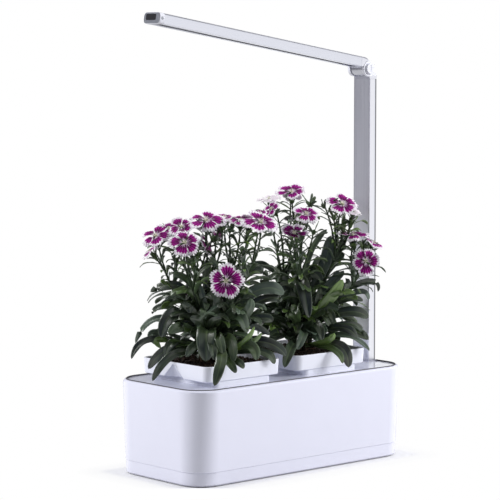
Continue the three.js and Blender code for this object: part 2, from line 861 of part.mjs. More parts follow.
function potShell() {
  const rimLow = potRimBottom + potRimEdge;
  const flangeTop = potRimBottom + potWall;
  const low = potRimTaper;
  return loft([
    potRing(
      potFloorHalfX - potFloorChamfer, potFloorHalfY - potFloorChamfer, potNeckCorner - potFloorChamfer / 2,
      potFloorZ,
    ),
    potRing(potFloorHalfX, potFloorHalfY, potNeckCorner, potFloorZ + potFloorChamfer),
    potRing(potNeckHalfX, potNeckHalfY, potNeckCorner, deckBottom),
    potRing(potNeckHalfX, potNeckHalfY, potNeckCorner, deckTop),
    potRing(potBandHalfX, potBandHalfY, potNeckCorner, deckTop),
    potRing(potBandHalfX, potBandHalfY, potNeckCorner, potRimBottom),
    potRing(potHalfX - low - potRimEdge, potHalfY - low - potRimEdge, potCorner - potRimEdge, potRimBottom),
    potRing(potHalfX - low, potHalfY - low, potCorner, rimLow),
    ...quarter(0, potRimTop, potRimRound).map(([inset, z]) => (
      potRing(potHalfX - inset, potHalfY - inset, potCorner - inset / 2, z)
    )),
    potRing(potHalfX - potWall, potHalfY - potWall, potCorner - potWall / 2, potRimTop - potRimRound / 2),
    potRing(potHalfX - potWall - low, potHalfY - potWall - low, potCorner - potWall / 2, flangeTop),
    potRing(potBandHalfX - potWall, potBandHalfY - potWall, potNeckCorner, flangeTop),
    potRing(potNeckHalfX - potWall, potNeckHalfY - potWall, potNeckCorner - potWall / 2, deckTop - potWall),
    potRing(
      potFloorHalfX - potWall, potFloorHalfY - potWall, potNeckCorner - potWall / 2,
      potFloorZ + potFloorThickness,
    ),
  ]);
}

function pot(x) {
  const inside = slab(
    potHalfX - potWall / 2, potHalfY - potWall / 2, potCorner, potRimBottom, potRimTop - potRimRound, 0, 0,
    cornerSteps,
  );
  const bulges = [-1, 1].map((side) => common(scoopCone(side, scoopWall), inside));
  const scoops = [-1, 1].map((side) => scoopCone(side, 0));
  const slot = box(wickSlotHalfX, wickSlotHalfY, 0, potRimBottom);
  return at(cut(join(potShell(), ...bulges), ...scoops, slot), x, 0);
}

function medium(x) {
  const gap = potWall + mediumGap;
  const rimGap = gap + mediumGap;
  const floor = potFloorZ + potFloorThickness + wickHeadThickness + wickGap;
  const flangeTop = potRimBottom + potWall + mediumGap;
  const block = loft([
    potRing(potFloorHalfX - gap, potFloorHalfY - gap, potNeckCorner - potWall / 2, floor),
    potRing(potNeckHalfX - gap, potNeckHalfY - gap, potNeckCorner - potWall / 2, deckTop - potWall),
    potRing(potBandHalfX - gap, potBandHalfY - gap, potNeckCorner, flangeTop),
    potRing(potHalfX - gap - potRimTaper, potHalfY - gap - potRimTaper, potCorner - potWall / 2, flangeTop),
    potRing(potHalfX - rimGap, potHalfY - rimGap, potCorner - potWall / 2, mediumTop - mediumMound),
    potRing(potHalfX * mediumCrownShare, potHalfY * mediumCrownShare, potCorner, mediumTop),
  ]);
  const bulges = [-1, 1].map((side) => scoopCone(side, scoopWall + mediumGap));
  return at(cut(block, ...bulges), x, 0);
}

function wick(x) {
  const floor = potFloorZ + potFloorThickness;
  const strip = box(wickSlotHalfX - wickGap, wickThickness / 2, wickBottom, floor + wickHeadThickness / 2);
  const head = box(wickHeadHalfX, wickHeadHalfY, floor, floor + wickHeadThickness);
  return at(join(strip, head), x, 0);
}

// lamp post

function postFoot() {
  const inner = postWall + spigotGap;
  const plateTop = deckTop + footPlate;
  const foot = join(
    slab(postHalfX + collarGrow, postHalfY + collarGrow, postCorner, deckTop, plateTop, 0, footPlateEdge),
    slab(postHalfX - inner, postHalfY - inner, postCorner / 2, deckTop, spigotTop, 0, footPlateEdge),
    slab(shankHalfX, shankHalfY, shankHalfX / 2, deckBottom + shankShort, plateTop),
  );
  const threads = [-1, 1].map((row) => at(
    rod(clampScrewRadius + screwClearance, 0, deckBottom + clampScrewLength, smallSides),
    0, row * clampScrewPitch / 2,
  ));
  const leadWay = rod(leadRadius + fitGap, 0, postTop, smallSides);
  return at(cut(foot, ...threads, leadWay), postX, postY);
}

function footClamp() {
  const low = deckBottom - clampThickness;
  const plate = at(slab(clampHalfX, clampHalfY, clampCorner, low, deckBottom), clampX, postY);
  const holes = [-1, 1].map((row) => at(
    rod(clampScrewRadius + screwClearance, 0, shellTop, smallSides), postX, postY + row * clampScrewPitch / 2,
  ));
  const leadWay = at(rod(leadRadius + fitGap, 0, shellTop, smallSides), postX, postY);
  return cut(plate, ...holes, leadWay);
}

function footScrew(row) {
  return at(
    screw(clampScrewHead, clampScrewHeadHeight, clampScrewRadius, clampScrewLength),
    postX, postY + row * clampScrewPitch / 2, deckBottom - clampThickness,
  );
}

function postExtrusion() {
  const ring = (inset, z) => (
    rectRing(postHalfX - inset, postHalfY - inset, postCorner - inset / 2, z, postX, postY, smallSteps)
  );
  const low = deckTop + footPlate;
  return loft([ring(0, low), ring(0, postTop), ring(postWall, postTop), ring(postWall, low)], true);
}

// hinge

const cheekFront = postY - postHalfY;
const cheekRear = postY + postHalfY;

function circlePoints(radius, sides = roundSides) {
  return circleRing(radius, 0, sides).map((point) => [point.x, point.y]);
}

function hingeY(geometry, y) {
  return alongY(geometry, hingeX, y, hingeZ);
}

function lampYoke() {
  const inner = postWall + spigotGap;
  const plugBottom = postTop - yokePlugLength;
  const stem = at(join(
    slab(postHalfX - inner, postHalfY - inner, postCorner / 2, plugBottom, postTop + postWall, footPlateEdge),
    slab(postHalfX, postHalfY, postCorner, postTop, postTop + yokeCollarHeight, 0, yokeCollarEdge),
  ), postX, postY);
  const neck = yokeNeckShares.map(([x, z]) => [x * discRadius, z * discRadius]);
  const cheeks = [cheekFront, cheekRear - cheekThickness].flatMap((y) => [
    at(sidePlate(circlePoints(discRadius), y, y + cheekThickness), hingeX, 0, hingeZ),
    at(sidePlate(neck, y, y + cheekThickness), hingeX, 0, hingeZ),
  ]);
  const channelLength = cheekRear - cheekFront - 2 * cheekThickness;
  const channel = hingeY(rod(barrelRadius + barrelGap, 0, channelLength), cheekFront + cheekThickness);
  const bore = hingeY(rod(pinRadius + pinGap, -postHalfY, 3 * postHalfY), cheekFront);
  const recess = hingeY(rod(nutRecessRadius, 0, postHalfY), cheekRear - nutRecess);
  return join(cut(stem, channel), ...cheeks.map((cheek) => cut(cheek, bore, recess)));
}

function frictionWasher(y) {
  return hingeY(washer(washerRadius, pinRadius + pinGap, 0, washerThickness), y);
}

function hingePin() {
  return hingeY(turned([
    [pinHeadRadius, -pinHeadThickness], [pinHeadRadius, 0], [pinRadius, 0], [pinRadius, pinLength - pinGap],
    [pinRadius - pinGap * 2, pinLength],
  ]), cheekFront);
}

function springWasher() {
  const ring = washer(springWasherRadius, pinRadius + pinGap, 0, springWasherThickness);
  return hingeY(ring, cheekRear - nutRecess);
}

function hingeNut() {
  return hingeY(hexNut(nutRadius, pinRadius, nutThickness), cheekRear - nutRecess + springWasherThickness);
}

// hollow cap on the cheek face, open toward the cheek, with a driver slot in its face
function hingeCap(depth) {
  const body = turned([
    [capRadius - capWall, depth - capWall], [capRadius - capWall, 0], [capRadius, 0],
    [capRadius, depth - capEdge], [capRadius - capEdge, depth],
  ]);
  const slot = box(capSlotHalfWidth, capSlotHalfLength, depth - capSlotDepth, depth + capSlotDepth);
  return cut(body, slot);
}

// lamp arm, drawn level along -X from the hinge axis, then tilted

function armPlace(geometry) {
  return geometry.clone().rotateY(armTiltAngle).translate(hingeX, postY, hingeZ);
}

// turns a shape built along Z into the level arm frame
function alongArm(geometry) {
  return geometry.clone().rotateY(-Math.PI / 2);
}

function armSection(grow, from, to, edge, radius = armCorner) {
  const body = slab(armHalfThickness + grow, armHalfWidth + grow, radius, from, to, 0, edge);
  return alongArm(at(body, armRise, 0));
}

function armKnuckle() {
  const low = armRise - armHalfThickness;
  const high = armRise + armHalfThickness;
  const reach = discRadius + knuckleClear;
  const arcStart = Math.asin(low / reach);
  const arcEnd = Math.acos(knuckleChamferX / reach);
  const arc = Array.from({ length: cornerSteps + 1 }, (_, i) => {
    const angle = arcEnd + (arcStart - arcEnd) * i / cornerSteps;
    return [-reach * Math.cos(angle), reach * Math.sin(angle)];
  });
  const outline = [
    [-armStart, low], [-armStart, high], [-knuckleTopStart, high], [-knuckleChamferX, knuckleChamferZ],
    ...arc,
  ];
  const shell = common(
    sidePlate(outline, -armHalfWidth, armHalfWidth), armSection(0, 0, armStart, 0),
  );
  const half = armHalfWidth - cheekThickness - washerThickness - washerGap;
  const plugStart = armStart - washerThickness;
  const barrel = join(
    sidePlate(circlePoints(barrelRadius), -half, half),
    sidePlate([
      [0, 0], [0, barrelRadius], [-knuckleChamferX, knuckleChamferZ], [-plugStart, knuckleChamferZ],
      [-plugStart, low],
    ], -half, half),
  );
  const plug = alongArm(at(
    slab(armPlugHalfThickness, armPlugHalfWidth, armCorner, plugStart, armStart + armPlugLength, 0, tipEdge),
    armRise - armPlugDrop, 0,
  ));
  const bore = alongY(rod(pinRadius + pinGap, -postHalfY, 3 * postHalfY), 0, -postHalfY, 0);
  return armPlace(cut(join(shell, barrel, plug), bore));
}

function armChannel() {
  const low = armRise - armHalfThickness;
  const inner = armHalfWidth - armWall;
  const outside = armSection(0, armStart, armEnd, 0);
  const hollow = alongArm(at(slab(
    armHalfThickness - armWall, inner, armGroove, 0, armEnd + armStart,
  ), armRise, 0));
  const mouth = alongArm(at(
    box(2 * armWall, inner - armLipWidth, 0, armEnd + armStart), low, 0,
  ));
  return armPlace(cut(outside, hollow, mouth));
}

function lampLens() {
  const low = armRise - armHalfThickness + armWall + seatGap;
  const half = armHalfWidth - armWall - lensGap;
  const from = armStart + armPlugLength + lensGap;
  const to = armEnd - armPlugLength - lensGap;
  const plate = box(lensThickness / 2, half, from, to);
  return armPlace(alongArm(at(plate, low + lensThickness / 2, 0)));
}

function ledBoard() {
  const high = armRise + armHalfThickness - armWall - seatGap;
  const plate = box(
    ledBoardThickness / 2, ledBoardHalfWidth, armStart + ledBoardMargin, armEnd - ledBoardMargin,
  );
  return armPlace(alongArm(at(plate, high - ledBoardThickness / 2, 0)));
}

// flexible strip glued under the heat spreader, with a row of chips
function ledStrip(row) {
  const high = armRise + armHalfThickness - armWall - ledBoardThickness - 2 * seatGap;
  const from = armStart + ledBoardMargin + ledHalf;
  const to = armEnd - ledBoardMargin - ledHalf;
  const tape = at(box(ledTapeThickness / 2, ledTapeHalfWidth, from, to), high - ledTapeThickness / 2, 0);
  const chips = Array.from({ length: ledCount }, (_, i) => {
    const along = from + (i + 0.5) * (to - from) / ledCount;
    return at(box(ledHeight / 2, ledHalf, along - ledHalf, along + ledHalf), high - ledHeight / 2, 0);
  });
  return armPlace(alongArm(at(join(tape, ...chips), 0, row * ledRowOffset)));
}

function armTipCap() {
  const end = armEnd + tipLength;
  const plugEnd = armEnd - armPlugLength;
  const plug = alongArm(at(
    slab(armPlugHalfThickness, armPlugHalfWidth, armCorner, plugEnd, armEnd + tipEdge, tipEdge),
    armRise - armPlugDrop, 0,
  ));
  const seat = alongArm(at(slab(
    bezelHalfThickness + pinGap, bezelHalfWidth + pinGap, bezelCorner, end - bezelThickness, end + tipLength,
  ), armRise, 0));
  const sensorBay = alongArm(at(slab(
    windowHalfThickness - windowThickness / 2, windowHalfWidth - windowThickness, windowCorner,
    armEnd + tipEdge, end + tipLength,
  ), armRise + windowRise, windowShift));
  const sideSeat = at(
    alongY(rod(sidePlugRadius + pinGap, 0, sidePlugDepth * 2), 0, 0, 0),
    -armEnd - tipLength / 2, -armHalfWidth - tipGrow - sidePlugDepth, armRise,
  );
  const collar = armSection(tipGrow, armEnd, end, tipEdge, tipCorner);
  return armPlace(cut(join(collar, plug), seat, sensorBay, sideSeat));
}

function tipBezel() {
  const end = armEnd + tipLength;
  const face = slab(bezelHalfThickness, bezelHalfWidth, bezelCorner, end - bezelThickness, end);
  const hole = at(slab(
    windowHalfThickness + pinGap, windowHalfWidth + pinGap, windowCorner, armEnd, end + tipLength,
  ), armRise + windowRise, windowShift);
  return armPlace(alongArm(cut(at(face, armRise, 0), hole)));
}

function touchWindow() {
  const back = armEnd + tipLength - bezelThickness;
  const pane = slab(windowHalfThickness, windowHalfWidth, windowCorner, back, back + windowThickness);
  return armPlace(alongArm(at(pane, armRise + windowRise, windowShift)));
}

function tipSidePlug() {
  const outer = armHalfWidth + tipGrow;
  const plug = alongY(rod(sidePlugRadius, 0, sidePlugDepth), 0, 0, 0);
  return armPlace(at(plug, -armEnd - tipLength / 2, -outer, armRise));
}

// plants

function bezier(start, knee, end, share) {
  const rest = 1 - share;
  return start.clone().multiplyScalar(rest * rest)
    .addScaledVector(knee, 2 * share * rest).addScaledVector(end, share * share);
}

function bezierSlope(start, knee, end, share) {
  const leaving = knee.clone().sub(start).multiplyScalar(1 - share);
  return leaving.addScaledVector(end.clone().sub(knee), share).normalize();
}

function leaf([tipX, tipY, tipZ, kneeX, kneeY, kneeZ, width]) {
  const tip = new THREE.Vector3(tipX, tipY, tipZ).multiplyScalar(plantReach);
  const knee = new THREE.Vector3(kneeX, kneeY, kneeZ).multiplyScalar(plantReach);
  const outward = new THREE.Vector3(tipX, tipY, 0).normalize();
  const root = outward.clone().multiplyScalar(leafRootRadius).setZ(leafRootHeight);
  const side = new THREE.Vector3(-outward.y, outward.x, 0);
  return loft(leafStations.map((share, i) => {
    const centre = bezier(root, knee, tip, share);
    const normal = side.clone().cross(bezierSlope(root, knee, tip, share)).negate();
    const half = leafWidthShares[i] * width * plantReach / 2;
    const thick = leafThicknessShares[i] * leafThickness / 2;
    const fold = leafFoldShare * half * 2;
    return [
      centre.clone().addScaledVector(side, half).addScaledVector(normal, fold),
      centre.clone().addScaledVector(normal, thick),
      centre.clone().addScaledVector(side, -half).addScaledVector(normal, fold),
      centre.clone().addScaledVector(normal, -thick),
    ];
  }));
}

// tiers of leaf ends: a scalloped ring every half leaf pitch, turned from tier to tier
function leafMass() {
  const points = 2 * massLeaves;
  return loft(massShares.map(([level, radius], tier) => (
    circleRing(radius * plantReach, level * plantReach, points).map((point, i) => {
      const onTip = (i + Math.ceil(tier / 2)) % 2 === 0;
      const share = onTip ? 1 : massNotchShare;
      return point.multiply(new THREE.Vector3(share, share, 1));
    })
  )));
}

// places a shape built along Z so that its Z axis points along the given direction
function aimed(geometry, direction, origin) {
  const turn = new THREE.Quaternion().setFromUnitVectors(new THREE.Vector3(0, 0, 1), direction);
  return geometry.clone().applyQuaternion(turn).translate(origin.x, origin.y, origin.z);
}

function stalk(start, knee, end, radius) {
  return loft(stalkStations.map((share) => {
    const centre = bezier(start, knee, end, share);
    const slope = bezierSlope(start, knee, end, share);
    const turn = new THREE.Quaternion().setFromUnitVectors(new THREE.Vector3(0, 0, 1), slope);
    return circleRing(radius, 0, stalkSides).map((point) => point.applyQuaternion(turn).add(centre));
  }));
}

function flower([x, y, z, radius, bearing, pitch], grow) {
  const centre = new THREE.Vector3(x, y, z).multiplyScalar(plantReach);
  const turn = THREE.MathUtils.degToRad(bearing);
  const lift = THREE.MathUtils.degToRad(pitch);
  const face = new THREE.Vector3(
    Math.cos(lift) * Math.cos(turn), Math.cos(lift) * Math.sin(turn), Math.sin(lift),
  );
  const reach = radius * plantReach;
  const rise = flowerCup * reach;
  const points = petalNotchShares.length * petalCount;
  const lobes = (size, level) => circleRing(size, level, points).map((point, i) => {
    const share = petalNotchShares[i % petalNotchShares.length];
    return point.multiply(new THREE.Vector3(share, share, 1));
  });
  const petals = loft([
    circleRing(calyxRadius + grow, -grow - petalThickness, points),
    lobes(reach + grow, rise - petalThickness / 2 - grow),
    lobes(reach + grow, rise + petalThickness / 2 + grow),
    circleRing(Math.min(flowerHubRadius, reach / 2), grow + petalThickness / 2, points),
  ]);
  const length = Math.min(calyxLength, 2 * reach);
  const calyx = turned([
    [stalkRadius + grow, -length - grow], [calyxRadius + grow, 0],
  ], stalkSides);
  const foot = centre.clone().addScaledVector(face, -length);
  const start = new THREE.Vector3(x, y, 0).normalize().multiplyScalar(knobRadius / 2)
    .setZ(crownHeight + knobHeight * (knobShare + radius));
  const knee = foot.clone().addScaledVector(face, -length)
    .multiply(new THREE.Vector3(stemSpreadShare, stemSpreadShare, stemRiseShare));
  const stem = stalk(start, knee, foot, stalkRadius + grow);
  if (radius < budRadiusShare) {
    return [aimed(calyx, face, centre), stem];
  }
  return [aimed(petals, face, centre), aimed(calyx, face, centre), stem];
}

function blooms(rows, grow) {
  const knob = rod(knobRadius + grow, crownHeight - grow, crownHeight + knobHeight, stalkSides * 2);
  return join(knob, ...rows.flatMap((row) => flower(row, grow)));
}

function plant(side, x) {
  const crown = turned([
    [crownRadius, 0], [crownRadius, crownHeight - crownEdge], [crownRadius - crownEdge, crownHeight],
  ], smallSides);
  const leaves = join(crown, leafMass(), ...leafShares[side].map(leaf));
  part(`leaves_${side}`, at(cut(leaves, blooms(flowerShares[side], plantGap)), x, 0, mediumTop), 'leaf');
  part(`blooms_${side}`, at(blooms(flowerShares[side], 0), x, 0, mediumTop), 'petal');
}

part('outer_shell', outerShell(), 'shell');
part('bottom_cover', bottomCover(), 'cover');
quarters.forEach(([signX, signY], i) => {
  part(`rubber_foot_${i + 1}`, rubberFoot(signX * footX, signY * footY), 'rubber');
});
bossSpots().forEach((spot, i) => {
  part(`cover_screw_${i + 1}`, coverScrew(spot), 'steel');
});
part('water_tank', waterTank(), 'tank');
part('float_guide', floatGuide(), 'tank');
part('level_float', levelFloat(), 'float');
part('control_board', controlBoard(), 'board');
boardSpots().forEach((spot, i) => {
  part(`board_screw_${i + 1}`, boardScrew(spot), 'steel');
});
part('dc_inlet', dcInlet(), 'black');
part('inlet_nut', inletNut(), 'steel');
part('deck_plate', deckPlate(), 'deck');
part('pot_left', pot(potX[0]), 'pot');
part('pot_right', pot(potX[1]), 'pot');
part('medium_left', medium(potX[0]), 'medium');
part('medium_right', medium(potX[1]), 'medium');
plant('left', potX[0]);
plant('right', potX[1]);
part('wick_left', wick(potX[0]), 'wick');
part('wick_right', wick(potX[1]), 'wick');
part('post_foot', postFoot(), 'alloy');
part('foot_clamp_plate', footClamp(), 'steel');
part('foot_screw_front', footScrew(-1), 'steel');
part('foot_screw_rear', footScrew(1), 'steel');
part('post_extrusion', postExtrusion(), 'alloy');
part('lamp_yoke', lampYoke(), 'yoke');
part('hinge_pin', hingePin(), 'steel');
part('friction_washer_front', frictionWasher(cheekFront + cheekThickness), 'black');
part('friction_washer_rear', frictionWasher(cheekRear - cheekThickness - washerThickness), 'black');
part('spring_washer', springWasher(), 'steel');
part('hinge_nut', hingeNut(), 'steel');
part('hinge_cap_front', hingeY(hingeCap(capFrontDepth).rotateX(Math.PI), cheekFront), 'yoke');
part('hinge_cap_rear', hingeY(hingeCap(capRearDepth), cheekRear), 'yoke');
part('arm_knuckle', armKnuckle(), 'yoke');
part('arm_channel', armChannel(), 'alloy');
part('lamp_lens', lampLens(), 'lens');
part('led_board', ledBoard(), 'black');
part('led_strip_front', ledStrip(-1), 'led');
part('led_strip_rear', ledStrip(1), 'led');
part('arm_tip_cap', armTipCap(), 'yoke');
part('tip_bezel', tipBezel(), 'silver');
part('touch_window', touchWindow(), 'black');
part('tip_side_plug', tipSidePlug(), 'silver');

export default group;
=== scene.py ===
"""Looks of a countertop hydroponic garden: base, deck, two potted dianthus plants and a tilting lamp."""
import json
import math

import bpy
import numpy as np
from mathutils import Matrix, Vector

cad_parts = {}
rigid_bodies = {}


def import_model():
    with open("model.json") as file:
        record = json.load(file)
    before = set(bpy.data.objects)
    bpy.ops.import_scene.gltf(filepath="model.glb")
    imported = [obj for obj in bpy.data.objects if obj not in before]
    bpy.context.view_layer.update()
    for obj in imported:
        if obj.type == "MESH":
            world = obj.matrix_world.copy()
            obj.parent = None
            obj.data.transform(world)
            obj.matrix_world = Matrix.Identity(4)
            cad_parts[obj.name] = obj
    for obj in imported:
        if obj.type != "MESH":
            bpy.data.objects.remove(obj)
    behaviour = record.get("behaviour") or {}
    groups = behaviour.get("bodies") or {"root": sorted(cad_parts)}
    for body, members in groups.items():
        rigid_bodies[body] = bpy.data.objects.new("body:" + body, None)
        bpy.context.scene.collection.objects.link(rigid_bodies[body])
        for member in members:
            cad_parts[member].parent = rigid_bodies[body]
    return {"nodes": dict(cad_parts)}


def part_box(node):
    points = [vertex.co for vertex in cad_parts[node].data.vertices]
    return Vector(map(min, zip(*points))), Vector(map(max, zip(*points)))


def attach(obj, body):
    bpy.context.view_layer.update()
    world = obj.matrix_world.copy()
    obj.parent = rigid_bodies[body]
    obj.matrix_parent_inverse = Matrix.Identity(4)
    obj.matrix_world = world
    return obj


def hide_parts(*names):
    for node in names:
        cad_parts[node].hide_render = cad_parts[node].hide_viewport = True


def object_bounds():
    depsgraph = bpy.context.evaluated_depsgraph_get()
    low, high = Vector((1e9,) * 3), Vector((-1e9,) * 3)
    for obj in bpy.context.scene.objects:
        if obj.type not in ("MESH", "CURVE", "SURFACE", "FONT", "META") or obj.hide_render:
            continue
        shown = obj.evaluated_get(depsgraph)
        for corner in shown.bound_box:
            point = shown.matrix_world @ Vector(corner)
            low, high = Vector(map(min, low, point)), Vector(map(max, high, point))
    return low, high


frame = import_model()
nodes = frame["nodes"]
cad_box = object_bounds()
rng = np.random.default_rng(7)
MM = 0.001


# colours and node helpers

def srgb(red, green, blue):
    """Linear colour of an 8-bit screen colour."""
    values = np.array([red, green, blue], float) / 255
    linear = np.where(values <= 0.04045, values / 12.92, ((values + 0.055) / 1.055) ** 2.4)
    return (*[float(v) for v in linear], 1.0)


def shade(colour, share):
    """A colour times a share."""
    return tuple(part * share for part in colour[:3]) + (1.0,)


class Tree:
    """A short way to write a node tree."""

    def __init__(self, tree):
        """Starts with no nodes."""
        self.tree = tree
        self.tree.nodes.clear()

    def put(self, value, socket):
        """Links a value that is a socket, or else sets it as the socket's constant."""
        if isinstance(value, bpy.types.NodeSocket):
            self.tree.links.new(value, socket)
        else:
            socket.default_value = value

    def add(self, kind, inputs=None, **settings):
        """A node with its settings and inputs."""
        node = self.tree.nodes.new(kind)
        for key, value in settings.items():
            setattr(node, key, value)
        for key, value in (inputs or {}).items():
            self.put(value, node.inputs[key])
        return node

    def math(self, operation, first, second=0.0, clamp=False):
        """Result of one sum on one or two values."""
        node = self.add("ShaderNodeMath", {0: first, 1: second}, operation=operation, use_clamp=clamp)
        return node.outputs[0]

    def times(self, first, second, clamp=False):
        """Product."""
        return self.math("MULTIPLY", first, second, clamp)

    def plus(self, first, second):
        """Sum."""
        return self.math("ADD", first, second)

    def minus(self, first, second, clamp=False):
        """Difference."""
        return self.math("SUBTRACT", first, second, clamp)

    def mix(self, factor, first, second):
        """Colour between a first and a second one."""
        node = self.add("ShaderNodeMix", data_type="RGBA")
        self.put(factor, node.inputs[0])
        self.put(first, node.inputs[6])
        self.put(second, node.inputs[7])
        return node.outputs[2]

    def coats(self, base, layers):
        """A base colour under coats, each a mask and its screen colour."""
        for mask, colour in layers:
            base = self.mix(mask, base, srgb(*colour))
        return base

    def ramp(self, factor, stops):
        """Colour by value, through stops of a place and a colour or a grey."""
        node = self.tree.nodes.new("ShaderNodeValToRGB")
        items = node.color_ramp.elements
        while len(items) < len(stops):
            items.new(0.5)
        for item, (place, colour) in zip(items, stops):
            item.position = place
            item.color = colour if isinstance(colour, tuple) else (colour, colour, colour, 1)
        self.tree.links.new(factor, node.inputs[0])
        return node.outputs[0]

    def attribute(self, name):
        """Value of the piece's own attribute."""
        return self.add("ShaderNodeAttribute", attribute_name=name).outputs["Fac"]


def new_group(name, control, kind, value):
    """Node group that takes a place and one control and gives a height for bumps and a soft 0 to 1 mask."""
    group = bpy.data.node_groups.new(name, "ShaderNodeTree")
    group.interface.new_socket("Vector", in_out="INPUT", socket_type="NodeSocketVector")
    group.interface.new_socket(control, in_out="INPUT", socket_type=kind).default_value = value
    for socket in ("Height", "Mask"):
        group.interface.new_socket(socket, in_out="OUTPUT", socket_type="NodeSocketFloat")
    tree = Tree(group)
    return group, tree, tree.add("NodeGroupInput").outputs[:2]


def end_group(tree, height, source, low, high):
    """Gives out a height, and a mask that rises as its source goes from low to high."""
    end = tree.add("NodeGroupOutput")
    mask = tree.add("ShaderNodeMapRange", {"Value": source, "From Min": low, "From Max": high})
    tree.put(height, end.inputs[0])
    tree.put(mask.outputs[0], end.inputs[1])


def grain_group():
    """Fine moulding grain and slow waviness."""
    group, tree, (place, scale) = new_group("surface_grain", "Scale", "NodeSocketFloat", 400.0)
    fine = tree.add("ShaderNodeTexNoise", {"Vector": place, "Scale": scale, "Detail": 3.0}).outputs[0]
    slow = tree.add("ShaderNodeTexNoise", {
        "Vector": place, "Scale": tree.times(scale, 0.03), "Detail": 2.0,
    }).outputs[0]
    end_group(tree, tree.plus(tree.times(fine, 0.4), slow), slow, 0.35, 0.65)
    return group


def brush_group():
    """Drawn streaks along one axis: noise stretched by a vector."""
    group, tree, ends = new_group("drawn_streaks", "Stretch", "NodeSocketVector", (1.0, 1.0, 1.0))
    scaled = tree.add("ShaderNodeVectorMath", dict(enumerate(ends)), operation="MULTIPLY").outputs[0]
    noise = tree.add("ShaderNodeTexNoise", {"Vector": scaled, "Scale": 1.0, "Detail": 4.0}).outputs[0]
    end_group(tree, noise, noise, 0.3, 0.7)
    return group


GRAIN = grain_group()
BRUSH = brush_group()


def new_material(name):
    """A material and the helper for its empty node tree."""
    material = bpy.data.materials.new(name)
    material.use_nodes = True
    return material, Tree(material.node_tree)


def finish_material(tree, shader):
    """Links the last shader to the material's output."""
    output = tree.add("ShaderNodeOutputMaterial")
    tree.tree.links.new(shader, output.inputs[0])


def surface(material, tree, colour, roughness, height, strength, depth, others=()):
    """Ends a material with a principled surface, whose bumps are a height times a depth in mm."""
    bump = tree.add("ShaderNodeBump", {"Height": height, "Strength": strength, "Distance": depth * MM})
    shader = tree.add("ShaderNodeBsdfPrincipled", {
        "Base Color": colour, "Roughness": roughness, "Normal": bump.outputs[0], **dict(others),
    })
    finish_material(tree, shader.outputs[0])
    return material


def object_vector(tree):
    """Object coordinates."""
    return tree.add("ShaderNodeTexCoord").outputs["Object"]


def effect(tree, group, value):
    """A shared effect in this material: its height and its mask, for one scale or stretch."""
    node = tree.add("ShaderNodeGroup", {0: object_vector(tree), 1: value}, node_tree=group)
    return node.outputs["Height"], node.outputs["Mask"]


def plastic(
    name, colour, roughness, bump=0.02, scale=900.0, coat=0.0, metallic=0.0, varied=0.02, gloss=0.5,
):
    """Moulded plastic with fine grain: colour, roughness and height vary a little over the surface."""
    material, tree = new_material(name)
    grain, mask = effect(tree, GRAIN, scale)
    tint = tree.mix(mask, shade(colour, 1 - 2 * varied), colour)
    rough = tree.add("ShaderNodeMapRange", {
        "Value": mask, "To Min": roughness * 1.1, "To Max": roughness * 0.92,
    })
    others = {
        "Metallic": metallic, "Coat Weight": coat, "Coat Roughness": 0.08, "Specular IOR Level": gloss,
    }
    return surface(material, tree, tint, rough.outputs[0], grain, bump, 0.4, others)


def metal(name, colour, roughness, stretch, bump=0.04, painted_shades=(), painted=None):
    """Drawn or brushed metal: streaks along one axis vary the roughness and the height.

    Each painted shade is an axis, the place where it starts, its sign and a share: past the place the metal's
    colour is darkened as painted shade.
    Above the height in painted the metal has a white coat.
    """
    material, tree = new_material(name)
    streaks, mask = effect(tree, BRUSH, stretch)
    rough = tree.add("ShaderNodeMapRange", {
        "Value": mask, "To Min": roughness * 0.8, "To Max": roughness * 1.25,
    })
    tint = tree.mix(mask, shade(colour, 0.94), colour)
    parts = tree.add("ShaderNodeSeparateXYZ", {0: object_vector(tree)})
    # painted shade: past each start the colour is darkened towards a dark alloy grey
    for axis, start, sign, share in painted_shades:
        past = tree.minus(parts.outputs[axis], start)
        past = tree.times(past, sign / SHADE_BLUR, clamp=True)
        tint = tree.mix(tree.times(past, share), tint, ALLOY_PAINTED_SHADE)
    metallic = 1.0
    if painted is not None:
        coat = tree.minus(parts.outputs[2], painted)
        coat = tree.times(coat, 1 / COAT_BLUR, clamp=True)
        metallic = tree.minus(metallic, coat, clamp=True)
    return surface(material, tree, tint, rough.outputs[0], streaks, bump, 0.2, {"Metallic": metallic})


# mesh helpers

def mesh_object(name, points, quads, values=None):
    """Smooth mesh object from point and quad arrays, with float attributes per point."""
    mesh = bpy.data.meshes.new(name)
    quads = np.asarray(quads, np.int32)
    mesh.vertices.add(len(points))
    mesh.vertices.foreach_set("co", np.asarray(points, np.float32).ravel())
    mesh.loops.add(quads.size)
    mesh.loops.foreach_set("vertex_index", quads.ravel())
    mesh.polygons.add(len(quads))
    mesh.polygons.foreach_set("loop_start", np.arange(0, quads.size, 4, dtype=np.int32))
    mesh.polygons.foreach_set("use_smooth", np.full(len(quads), True))
    for key, data in (values or {}).items():
        attribute = mesh.attributes.new(key, "FLOAT", "POINT")
        attribute.data.foreach_set("value", np.asarray(data, np.float32).ravel())
    mesh.update(calc_edges=True)
    shape = bpy.data.objects.new(name, mesh)
    bpy.context.scene.collection.objects.link(shape)
    return shape


def settle(shape, material, body):
    """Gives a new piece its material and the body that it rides."""
    shape.data.materials.append(material)
    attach(shape, body)


def strip_quads(items, rows, ring):
    """Quads of many closed tubes, each with rows rings of ring points."""
    item, row, spot = np.meshgrid(np.arange(items), np.arange(rows - 1), np.arange(ring), indexing="ij")
    base = item * rows * ring
    after = (spot + 1) % ring
    quads = np.stack([
        base + row * ring + spot, base + row * ring + after,
        base + (row + 1) * ring + after, base + (row + 1) * ring + spot,
    ], axis=-1)
    return quads.reshape(-1, 4)


def unit(vectors):
    """Vectors divided by their lengths."""
    return vectors / np.maximum(np.linalg.norm(vectors, axis=-1, keepdims=True), 1e-12)


